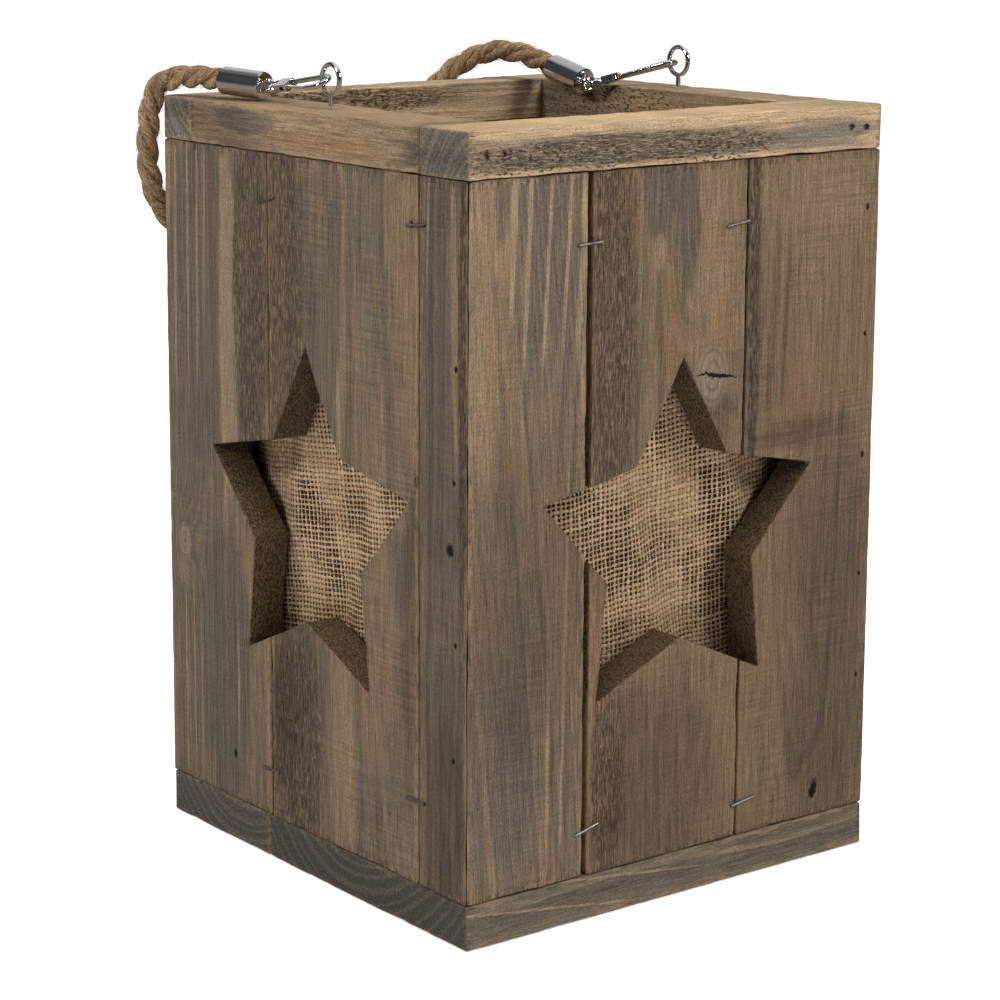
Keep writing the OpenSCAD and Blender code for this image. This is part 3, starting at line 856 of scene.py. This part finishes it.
PLANK_LOOKS = {
    "front_1": dict(seed=1.0, pith=(210, 90), tilt=(-0.10, 0), spacing=2.6, warmth=0.46, late=0.22,
                    rough=0.02, saw=0.5, value=0.85, wander=5.0, marks=(
        ("Light", 8, 262, 12, 26), ("Light", 8, 200, 6, 40), ("Grey", 15.5, 276, 3.6, 24),
        ("Grey", 25, 268, 2.6, 32, 0.03), ("Grey", 32.5, 246, 4.6, 54, 0.05),
        ("Grey", 42.5, 250, 3.8, 46, 0.06), ("Grey", 50, 240, 2.4, 56, 0.06),
        ("Tan", 21.3, 262, 1.6, 40, 0.03), ("Tan", 28.4, 250, 1.1, 60, 0.05),
        ("Tan", 38, 250, 0.9, 50, 0.06),
        ("Tan", 46.6, 240, 0.8, 60, 0.06), ("Tan", 54.5, 250, 1.6, 46, 0.05),
        ("Rust", 11, 205, 2.2, 24),
        ("Rust", 19.5, 180, 2.4, 20, 0.03), ("Dark", 30, 110, 34, 60),
        ("Grey", 22, 44, 9, 40, 0.03),
        ("Tan", 39, 50, 0.9, 46), ("Tan", 47, 90, 0.7, 90, 0.02), ("Dark", 43, 120, 1.4, 110, 0.02),
        ("Dark", 50, 110, 1.6, 110, 0.02))),
    "front_2": dict(seed=2.0, pith=(54, 26), tilt=(0.03, -0.07), spacing=3.0, warmth=0.85, late=0.2,
                    rough=0.05, saw=0.4, value=0.67, wander=9.0, knot1=(61.5, 192, 7.8), marks=(
        ("Torn", 8, 215, 14, 96), ("Torn", 10, 35, 9, 40),
        ("Grey", 33, 272, 9, 24), ("Grey", 47, 256, 6, 30), ("Tan", 33, 243, 3.2, 7),
        ("Tan", 23.6, 246, 0.9, 44), ("Light", 62, 240, 9, 44), ("Rust", 66, 208, 7, 20),
        ("Rust", 40, 214, 5, 22),
        ("Dark", 62, 172, 10, 14),
        ("Rust", 3, 70, 4, 80), ("Dark", 40, 30, 26, 40), ("Dark", 24, 62, 9, 12),
        ("Dark", 30, 20, 20, 14))),
    "front_3": dict(seed=3.0, pith=(34, 24), tilt=(0.0, -0.09), spacing=3.4, warmth=0.9, late=0.2,
                    rough=0.05, saw=0.7, value=0.62, knot1=(42.5, 10, 3.0), marks=(
        ("Torn", 2, 215, 5, 90), ("Grey", 3, 210, 4, 70), ("Light", 40, 264, 34, 24),
        ("Rust", 30, 178, 9, 15), ("Dark", 30, 164, 28, 6), ("Dark", 50, 112, 24, 44),
        ("Dark", 50, 44, 24, 50), ("Dark", 42.5, 11, 3, 9), ("Hole", 42.5, 11, 1.9, 3.6, 0.2),
        ("Dark", 14, 205, 2, 40, 0.06),
        ("Dark", 21, 210, 1.2, 36, 0.05), ("Hole", 65, 252.6, 0.8, 1.4),
        ("Hole", 65.5, 200.6, 0.7, 1.0),
        ("Hole", 66, 150.4, 0.8, 1.2), ("Hole", 66, 100, 0.7, 1.0), ("Hole", 66, 56.6, 0.7, 1.0))),
    "left_1": dict(seed=4.0, pith=(-150, 80), tilt=(0.0, 0.0), spacing=2.8, warmth=0.38, late=0.22,
                   rough=0.02, saw=0.35, value=0.67, wander=5.0, knot1=(12, 105, 5.0), marks=(
        ("Grey", 27, 215, 17, 80), ("Tan", 2, 262, 3, 26), ("Tan", 8, 240, 0.9, 60, 0.01),
        ("Tan", 17.4, 228, 0.8, 66, 0.01), ("Tan", 24.6, 230, 0.8, 60, 0.02),
        ("Tan", 30.6, 246, 0.8, 44, 0.02),
        ("Tan", 47, 205, 6, 78, 0.01), ("Tan", 51, 186, 5, 40), ("Torn", 66, 215, 13, 84),
        ("Torn", 55, 216, 3, 50), ("Light", 11, 92, 5, 6),
        ("Tan", 12, 40, 0.8, 46), ("Tan", 18.5, 44, 0.7, 46), ("Tan", 24, 36, 0.7, 40),
        ("Tan", 53, 50, 0.9, 24), ("Grey", 42, 62, 20, 60), ("Hole", 50, 20, 1.0, 1.6))),
    "left_2": dict(seed=5.0, pith=(90, 52), tilt=(0.02, -0.03), spacing=2.6, warmth=0.5, late=0.2,
                   rough=0.05, saw=0.75, value=0.67, wander=8.0, marks=(
        ("Torn", 9, 225, 16, 84), ("Torn", 19, 36, 19, 60),
        ("Dark", 10, 50, 12, 30), ("Light", 50, 34, 8, 42), ("Grey", 47, 248, 5, 16),
        ("Tan", 49, 172, 1.4, 26), ("Rust", 95, 242, 3, 8), ("Grey", 32, 180, 5, 60),
        ("Hole", 100.4, 160, 0.9, 2.4), ("Hole", 97.5, 257, 0.7, 1.2), ("Dark", 96, 100, 5, 70))),
    "left_3": dict(seed=6.0, pith=(120, 60), tilt=(-0.03, 0.05), spacing=3.0, warmth=0.42, late=0.25,
                   rough=0.05, saw=0.5, value=0.56, wander=6.0, marks=(
        ("Grey", 10, 215, 7, 96), ("Tan", 5.6, 256, 0.8, 30, 0.03),
        ("Tan", 22, 222, 2.0, 62, -0.03),
        ("Torn", 27, 200, 3, 90), ("Hole", 19.6, 137, 1.9, 2.3), ("Hole", 22, 163, 0.8, 1.1),
        ("Hole", 23, 206, 0.8, 1.3), ("Hole", 23, 101, 0.8, 1.0), ("Hole", 22, 55.6, 0.8, 1.0),
        ("Dark", 18, 34, 12, 44))),
    "right_1": dict(seed=7.0, pith=(90, 40), tilt=(0.0, 0.04), spacing=3.0, warmth=0.46, late=0.25,
                    rough=0.15, saw=0.5, value=0.78, wander=7.0, marks=(
        ("Tan", 12, 180, 3, 70, 0.02), ("Grey", 22, 240, 5, 50), ("Dark", 8, 60, 8, 50))),
    "right_2": dict(seed=8.0, pith=(50, 30), tilt=(0.02, -0.06), spacing=3.2, warmth=0.54, late=0.22,
                    rough=0.1, saw=0.6, value=0.78, knot1=(26, 226, 5.2), marks=(
        ("Torn", 8, 90, 12, 90), ("Light", 70, 220, 8, 60), ("Grey", 50, 240, 8, 40),
        ("Rust", 60, 40, 5, 30), ("Dark", 84, 60, 8, 60))),
    "right_3": dict(seed=9.0, pith=(230, 70), tilt=(0.05, 0.0), spacing=2.8, warmth=0.42, late=0.25,
                    rough=0.05, saw=0.4, value=0.78, wander=5.0, marks=(
        ("Grey", 30, 60, 14, 60), ("Tan", 52, 180, 1.4, 90, 0.01), ("Tan", 60, 210, 1.0, 60, 0.01),
        ("Grey", 72, 230, 6, 50), ("Torn", 12, 230, 12, 60))),
    "back_1": dict(seed=10.0, pith=(32, 34), tilt=(0.01, 0.05), spacing=3.2, warmth=0.52, late=0.22,
                   rough=0.1, saw=0.5, value=0.78, knot1=(50, 60, 4.0), marks=(
        ("Grey", 20, 230, 8, 60), ("Light", 40, 210, 4, 80), ("Dark", 60, 240, 8, 40))),
    "back_2": dict(seed=11.0, pith=(-110, 64), tilt=(0.0, -0.02), spacing=2.8, warmth=0.42, late=0.25,
                   rough=0.15, saw=0.4, value=0.78, wander=6.0, marks=(
        ("Torn", 10, 60, 11, 80), ("Tan", 60, 40, 2, 60), ("Grey", 34, 240, 8, 50))),
    "back_3": dict(seed=12.0, pith=(20, 28), tilt=(0.02, 0.07), spacing=3.4, warmth=0.5, late=0.22,
                   rough=0.2, saw=0.6, value=0.78, marks=(
        ("Rust", 30, 90, 6, 30), ("Torn", 44, 200, 10, 80), ("Light", 14, 200, 5, 70, 0.02))),
}


def make_planks():
    for wall, (side, joints, star_x) in WALLS.items():
        matrix = wall_matrix(side)
        across, depth, along = axes(matrix)
        for n in (1, 2, 3):
            look = PLANK_LOOKS[f"{wall}_{n}"]
            x0 = -HALF if n == 1 else joints[n - 2][0] + joints[n - 2][1] / 2
            x1 = HALF if n == 3 else joints[n - 1][0] - joints[n - 1][1] / 2
            inner = HALF - WALL_T
            plan = [(x0, 0), (x1, 0), (min(x1, inner), WALL_T), (max(x0, -inner), WALL_T)]
            bm = cut_away(solid(plan, BASE_T, RIM_Z), star_prism(star_x))
            weather(bm, look["seed"], 0.8, 0.75)
            parts = split_islands(bm)
            corner = matrix @ Vector((x0, 0, BASE_T)) * MM
            material = timber_material(f"pine_{wall}_{n}", corner, across, depth, along,
                                       (x1 - x0, WALL_T, WALL_H), (star_x - x0, STAR_Z - BASE_T), **look)
            parts.sort(key=lambda part: -sum(v.co.z for v in part.verts) / len(part.verts))
            names = ["upper", "lower"] if len(parts) == 2 else [""]
            for part, suffix in zip(parts, names):
                name = f"{wall}_plank_{n}" + (f"_{suffix}" if suffix else "")
                mesh = place_mesh(part, matrix, name)
                weighted(finish_piece(f"board_{name}", mesh, material, "box", [name]))


def split_islands(bm):
    """The bmesh's loose parts, each as a bmesh of its own."""
    bm.verts.index_update()
    seen, groups = set(), []
    for v in bm.verts:
        if v.index in seen:
            continue
        stack, group = [v], set()
        while stack:
            at = stack.pop()
            if at.index in group:
                continue
            group.add(at.index)
            stack += [e.other_vert(at) for e in at.link_edges]
        seen |= group
        groups.append(group)
    if len(groups) == 1:
        return [bm]
    parts = []
    for group in groups:
        part = bm.copy()
        part.verts.ensure_lookup_table()
        bmesh.ops.delete(part, geom=[v for v in part.verts if v.index not in group], context="VERTS")
        if len(part.verts) > 20:
            parts.append(part)
        else:
            part.free()
    bm.free()
    return parts


make_planks()


def board(node, low, high, along, look, holes=()):
    """A straight board between two corners in millimetres, its grain along X or Y. It replaces the
    CAD node of that name."""
    name = node.rsplit("_", 1)[0]
    (x0, y0, z0), (x1, y1, z1) = low, high
    bm = solid([(x0, y0), (x1, y0), (x1, y1), (x0, y1)], z0, z1)
    weather(bm, look["seed"], 0.9, 0.8)
    for hole in holes:
        bm = cut_away(bm, hole)
    x_axis, y_axis, up = Vector((1, 0, 0)), Vector((0, 1, 0)), Vector((0, 0, 1))
    across_axis, along_axis = (y_axis, x_axis) if along == "X" else (x_axis, y_axis)
    width, length = (y1 - y0, x1 - x0) if along == "X" else (x1 - x0, y1 - y0)
    material = timber_material(f"pine_{name}", Vector(low) * MM, across_axis, up, along_axis,
                               (width, z1 - z0, length), **look)
    mesh = place_mesh(bm, Matrix.Identity(4), name)
    weighted(finish_piece(f"board_{name}", mesh, material, "box", [node]))


def nail_hole(centre, inwards, rng):
    """A ragged cone for the sunk head of a nail."""
    depth, r, corners = 1.6, 1.3, 9
    z = Vector(inwards)
    x = Vector((0, 0, 1)) if abs(z.z) < 0.5 else Vector((1, 0, 0))
    y = z.cross(x)
    rings = []
    for t, scale in ((-0.8, 1.15), (depth, 0.8)):
        ring = []
        for k in range(corners):
            a = 2 * math.pi * k / corners
            rr = r * scale * rng.uniform(0.75, 1.3)
            ring.append(Vector(centre) + z * t + rr * (math.cos(a) * x + math.sin(a) * y))
        rings.append(ring)
    return prism(*rings)


def make_rim_and_base():
    rng = random.Random(5)
    rim_mid = RIM_Z + RIM_T / 2
    front_holes, back_holes = ([nail_hole((k * x, y, rim_mid), (0, way, 0), rng)
                                for k in (-1, 1) for x in (88.5, 96.5)]
                               for y, way in ((-HALF, 1), (HALF, -1)))
    # value=1.42 paints this rail lighter all over: partly its own paler wood, partly painted light for
    # its brightly lit top
    board("rim_front_rail", (-HALF, -HALF, RIM_Z), (HALF, -HALF + RIM_FRONT_W, BOX_H), "X",
          dict(seed=21.0, pith=(-20, -16), tilt=(0.01, 0.02), spacing=3.4, warmth=0.48, late=0.2,
               rough=0.0, saw=0.1, value=1.42, marks=(
                   ("Grey", 8.2, 80, 5.2, 84), ("Tan", 15.8, 100, 2.5, 110),
                   ("Tan", 0.5, 90, 1.9, 110),
                   ("Torn", 7.5, 75, 6, 80), ("Pitted", 6, 26, 6.5, 24), ("Pitted", 6, 62, 6.5, 16),
                   ("Pitted", 6, 118, 6.5, 34), ("Grey", 9, 180, 5, 24), ("Light", 9, 204, 7, 8),
                   ("Hole", 9, 8.4, 1.5, 1.1), ("Hole", 9, 16.6, 1.3, 1.0),
                   ("Hole", 9.4, 193.4, 1.2, 1.5), ("Hole", 9, 201.6, 1.2, 1.5))),
          holes=front_holes)
    # value=1.7 paints this rail lighter all over: painted light, for the light on its inner face that
    # looks into the lantern
    board("rim_back_rail", (-HALF, HALF - RIM_BACK_W, RIM_Z), (HALF, HALF, BOX_H), "X",
          dict(seed=22.0, pith=(-14, 34), tilt=(0.0, -0.02), spacing=4.0, warmth=0.52, late=0.3,
               rough=0.1, saw=0.3, value=1.7, marks=(("Pitted", 12, 60, 6, 70), ("Light", 6, 100, 6, 80),
                                                         ("Torn", 13, 60, 5, 80))),
          holes=back_holes)
    board("rim_left_rail", (-HALF, -HALF + RIM_FRONT_W, RIM_Z),
          (-HALF + RIM_LEFT_W, HALF - RIM_BACK_W, BOX_H), "Y",
          dict(seed=23.0, pith=(-24, 8), tilt=(0.02, 0.03), spacing=2.6, warmth=0.66, late=0.3,
               rough=0.02, saw=0.2, value=0.84, marks=(
                   ("Dark", 9, 0, 12, 9), ("Grey", 12, 118, 6, 22), ("Dark", 10, 140, 12, 26),
                   ("Light", 14, 70, 4, 50), ("Light", 19, 87, 2.2, 130),
                   ("Rust", 6, 60, 4, 40))))
    board("rim_right_rail", (HALF - RIM_RIGHT_W, -HALF + RIM_FRONT_W, RIM_Z),
          (HALF, HALF - RIM_BACK_W, BOX_H), "Y",
          dict(seed=24.0, pith=(40, 20), tilt=(-0.02, 0.02), spacing=3.8, warmth=0.5, late=0.35,
               rough=0.1, saw=0.3, value=1.05,
               marks=(("Pitted", 9, 110, 9, 50), ("Light", 12, 50, 5, 60))))
    spots = [wall_matrix(side) @ Vector((x, WALL_T / 2, 0))
             for side in (FRONT, RIGHT, BACK, LEFT) for x in (-60, 60)]
    holes = [(p, nail_hole(tuple(p), (0, 0, 1), rng)) for p in spots]
    board("base_front_board", (-HALF, -HALF, 0), (HALF, BASE_JOINT_Y - 0.2, BASE_T), "X",
          dict(seed=25.0, pith=(72, 62), tilt=(0.01, 0.01), spacing=5.2, warmth=0.30, late=0.4,
               rough=0.05, saw=0.2, value=0.86, marks=(
                   ("Grey", 9, 60, 14, 70), ("Tan", 8, 45, 0.5, 46, -0.14),
                   ("Tan", 14, 80, 0.5, 40, -0.12),
                   ("Grey", 6, 170, 8, 40))),
          holes=[h for p, h in holes if p.y < BASE_JOINT_Y])
    board("base_back_board", (-HALF, BASE_JOINT_Y + 0.2, 0), (HALF, HALF, BASE_T), "X",
          dict(seed=26.0, pith=(20, 50), tilt=(0.01, 0.01), spacing=4.4, warmth=0.62, late=0.35,
               rough=0.2, saw=0.3, value=1.0),
          holes=[h for p, h in holes if p.y > BASE_JOINT_Y])


make_rim_and_base()


def paint(node, material):
    """Puts a material on a CAD node's own object."""
    mesh_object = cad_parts[node]
    if not mesh_object.material_slots:
        mesh_object.data.materials.append(material)
    for place in mesh_object.material_slots:
        place.material = material


def paint_battens():
    for i, (wall, (side, _, _)) in enumerate(WALLS.items()):
        for level in ("low", "high"):
            node = f"batten_{wall}_{level}"
            low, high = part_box(node)
            matrix = wall_matrix(side)
            across, depth, _ = axes(matrix)
            size = [(b - a) * 1000 for a, b in zip(low, high)]
            length = max(size[0], size[1])
            corner = matrix @ Vector((-length / 2, WALL_T, low[2] * 1000)) * MM
            look = dict(seed=31.0 + i * 2 + (level == "high"), pith=(-12, 14), tilt=(0.02, 0.0),
                        spacing=4.0, warmth=0.7, late=0.4, rough=0.15, saw=0.4, value=1.08)
            paint(node, timber_material(f"pine_{node}", corner, Vector((0, 0, 1)), depth, across,
                                        (BATTEN_H, BATTEN_T, length), **look))


paint_battens()

# ---------------------------------------------------------------- burlap lining

THREAD_PITCH = 2.15


def burlap_material():
    """An open plain weave in jute: threads over and under, of uneven thickness, with real holes, painted
    near black round their edges as painted shade.
    """
    material, net, shader = new_material("burlap_weave")
    uv = net.node("ShaderNodeUVMap", uv_map="weave")
    x, y, _ = net.split(uv.outputs[0])
    slow = net.vec(net.mul(x, 0.05), net.mul(y, 0.05), 0.0)
    drift = net.split(net.noise(slow, colour=True))
    drift_x, drift_y = (
        net.add(net.mul(net.centred(drift[i]), 2.2),
                net.mul(net.centred(net.noise(net.vec(net.mul(x, fx), net.mul(y, fy), offset))), 1.0))
        for i, fx, fy, offset in ((0, 0.9, 0.22, 4.0), (1, 0.22, 0.9, 8.0)))
    a = net.ratio(net.add(net.add(x, net.mul(y, 0.06)), drift_x), THREAD_PITCH)
    b = net.ratio(net.add(net.sub(y, net.mul(x, 0.1)), drift_y), THREAD_PITCH)
    wave_a = net.math("SINE", net.mul(a, math.pi))
    wave_b = net.math("SINE", net.mul(b, math.pi))
    warp = net.size(wave_a)
    weft = net.size(wave_b)
    over = net.mul(net.mul(wave_a, wave_b), 0.5)
    warp_number = net.math("FLOOR", a)
    weft_number = net.math("FLOOR", b)
    warp_own = net.noise(net.vec(net.mul(warp_number, 7.31), net.mul(y, 0.035), 1.0), detail=1.0)
    weft_own = net.noise(net.vec(net.mul(x, 0.035), net.mul(weft_number, 5.17), 2.0), detail=1.0)
    warp_h = net.mul(net.math("POWER", warp, 0.6), net.add(0.62, over))
    weft_h = net.mul(net.math("POWER", weft, 0.6), net.sub(0.62, over))
    height = net.highest(warp_h, weft_h)
    on_warp = net.above(warp_h, weft_h)
    # the fibres of each thread run along it, slightly twisted
    warp_twist = net.add(net.mul(x, 5.2), net.mul(y, 1.4))
    weft_twist = net.add(net.mul(y, 5.2), net.mul(x, 1.4))
    warp_fibre = net.noise(net.vec(warp_twist, net.mul(y, 0.7), 5.0))
    weft_fibre = net.noise(net.vec(net.mul(x, 0.7), weft_twist, 6.0))
    fibre = net.choose(on_warp, weft_fibre, warp_fibre)
    tone = net.smooth(net.choose(on_warp, weft_own, warp_own), 0.3, 0.7)
    colour = net.mix(tone, linear(160, 132, 100), linear(192, 163, 128))
    colour = net.mix(net.smooth(fibre, 0.35, 0.7), net.scaled(colour, 0.66), colour)
    # painted shade: each thread is darkened where it dips under its neighbours, in the hollows of the
    # weave
    colour = net.mix(net.smooth(height, 0.3, 0.85), net.scaled(colour, 0.55), colour)
    blotch = net.noise(net.vec(net.mul(x, 0.02), net.mul(y, 0.02), 9.0), detail=2.0)
    colour = net.scaled(colour, net.smooth(blotch, 0.3, 0.7, 0.90, 1.06))
    # thin threads leave holes between them, more in the loosely woven parts; each hole is painted near
    # black, as painted shade for the dark inside of the lantern, and only its middle is cut through
    slant = net.add(net.mul(x, 0.03), net.mul(y, 0.012))
    loose = net.noise(net.vec(slant, net.mul(y, 0.02), 7.0), detail=1.0)
    loose = net.smooth(loose, 0.36, 0.58, -0.2, 0.24)
    thick_a = net.add(net.smooth(warp_own, 0.35, 0.65, 0.66, 0.44), loose)
    thick_b = net.add(net.smooth(weft_own, 0.35, 0.65, 0.66, 0.44), loose)
    cover = net.highest(net.sub(warp, thick_a), net.sub(weft, thick_b))
    # painted shade: near black in and round the holes
    colour = net.mix(net.smooth(cover, -0.06, 0.12), linear(30, 22, 15), colour)
    net.feed(shader.inputs["Base Color"], colour)
    finish(shader, 0.95, 0.15)
    net.feed(shader.inputs["Alpha"], net.smooth(cover, -0.34, -0.26))
    bumped(net, shader, net.add(net.mul(height, 0.55), net.mul(fibre, 0.16)))
    return material


def make_lining():
    material = burlap_material()
    middle, half_width = WALL_T + BATTEN_T + 0.3 + 2.0, 77.0
    z0, z1, step = 24.0, 286.0, 2.4
    columns, rows = int(2 * half_width / step), int((z1 - z0) / step)

    def ramp(value, low, high):
        t = min(1.0, max(0.0, (value - low) / (high - low)))
        return t * t * (3 - 2 * t)

    for i, (wall, (side, _, _)) in enumerate(WALLS.items()):
        matrix = Matrix.Scale(MM, 4) @ wall_matrix(side)
        seed = Vector((i * 7.7, i * 3.1, 0))
        verts, uvs = [], []
        for r in range(rows + 1):
            z = z0 + (z1 - z0) * r / rows
            free = ramp(z, 54, 84) * ramp(-z, -256, -222)
            for c in range(columns + 1):
                x = -half_width + 2 * half_width * c / columns
                loose = free * ramp(half_width - abs(x), 0, 16)
                lean = x + (0.34 if i % 2 == 0 else -0.28) * (z - 146) + 6 * i
                fold = 2.7 * math.sin(2 * math.pi * lean / 61)
                fold += 1.3 * math.sin(2 * math.pi * lean / 27 + i)
                fold += 2.2 * noise.noise(Vector((x * 0.022, z * 0.011, 0)) + seed)
                ripple = 0.35 * noise.noise(Vector((x * 0.12, z * 0.05, 3)) + seed)
                verts.append(matrix @ Vector((x, middle + loose * (0.6 * fold - 5.4) + ripple, z)))
                uvs.append((x + half_width + 400 * i, z))
        n = columns + 1
        faces = [(r * n + c, r * n + c + 1, (r + 1) * n + c + 1, (r + 1) * n + c)
                 for r in range(rows) for c in range(columns)]
        piece = make_piece(f"burlap_{wall}", verts, faces, material, "box",
                           [f"lining_{wall}"])
        layer = piece.data.uv_layers.new(name="weave")
        for loop in piece.data.loops:
            layer.data[loop.index].uv = uvs[loop.vertex_index]
        thick = piece.modifiers.new("thickness", "SOLIDIFY")
        thick.thickness, thick.offset = 0.7 * MM, 0.0


make_lining()

# ---------------------------------------------------------------- metal and glass


def metal(name, colour, dull, roughness, scratches, stain=None):
    material, net, shader = new_material(name)
    place = net.place()
    cloud = net.noise(place, scale=170.0, detail=3.0)
    fine = net.noise(place, scale=900.0, detail=2.0, rough=0.6)
    surface = net.mix(net.smooth(cloud, 0.45, 0.75), colour, dull)
    if stain:
        surface = net.mix(net.smooth(fine, 0.58, 0.72), surface, stain)
    net.feed(shader.inputs["Base Color"], surface)
    shader.inputs["Metallic"].default_value = 1.0
    net.feed(shader.inputs["Roughness"], net.smooth(cloud, 0.3, 0.8, roughness, roughness * 2.2))
    bumped(net, shader, net.mul(fine, scratches))
    return material


def glass_material():
    material, net, shader = new_material("clear_glass_blown")
    wave = net.noise(net.place(), scale=18.0, detail=1.0)
    shader.inputs["Base Color"].default_value = (0.93, 0.97, 0.96, 1)
    shader.inputs["Roughness"].default_value = 0.02
    shader.inputs["IOR"].default_value = 1.5
    shader.inputs["Transmission Weight"].default_value = 1.0
    bumped(net, shader, net.mul(wave, 0.8), 0.25)
    return material


def paint_metal_and_glass():
    chrome = metal("chrome_plate", (0.80, 0.80, 0.81, 1), (0.66, 0.66, 0.68, 1), 0.06, 0.006)
    zinc, dirty, steel = (metal(name, (*colour, 1), (*dull, 1), roughness, scratches, (*stain, 1))
                          for name, colour, dull, roughness, scratches, stain in (
        ("zinc_wire", (0.36, 0.35, 0.34), (0.16, 0.15, 0.14), 0.38, 0.02, (0.2, 0.17, 0.14)),
        ("dirty_wire", (0.22, 0.20, 0.18), (0.10, 0.09, 0.08), 0.4, 0.02, (0.3, 0.28, 0.26)),
        ("dull_steel", (0.30, 0.28, 0.26), (0.14, 0.12, 0.11), 0.4, 0.03, (0.10, 0.06, 0.04))))
    for kind in ("screw_eye", "hook", "hook_gate", "gate_pin", "rope_cap", "cap_loop"):
        for side in ("left", "right"):
            paint(f"{kind}_{side}", chrome)
    for wall in WALLS:
        paint(f"wall_staples_{wall}", dirty if wall == "left" else zinc)
    for node, material in (("lining_staples", zinc), ("base_brads", steel), ("rim_brads", steel),
                           ("candle_glass", glass_material())):
        paint(node, material)


paint_metal_and_glass()
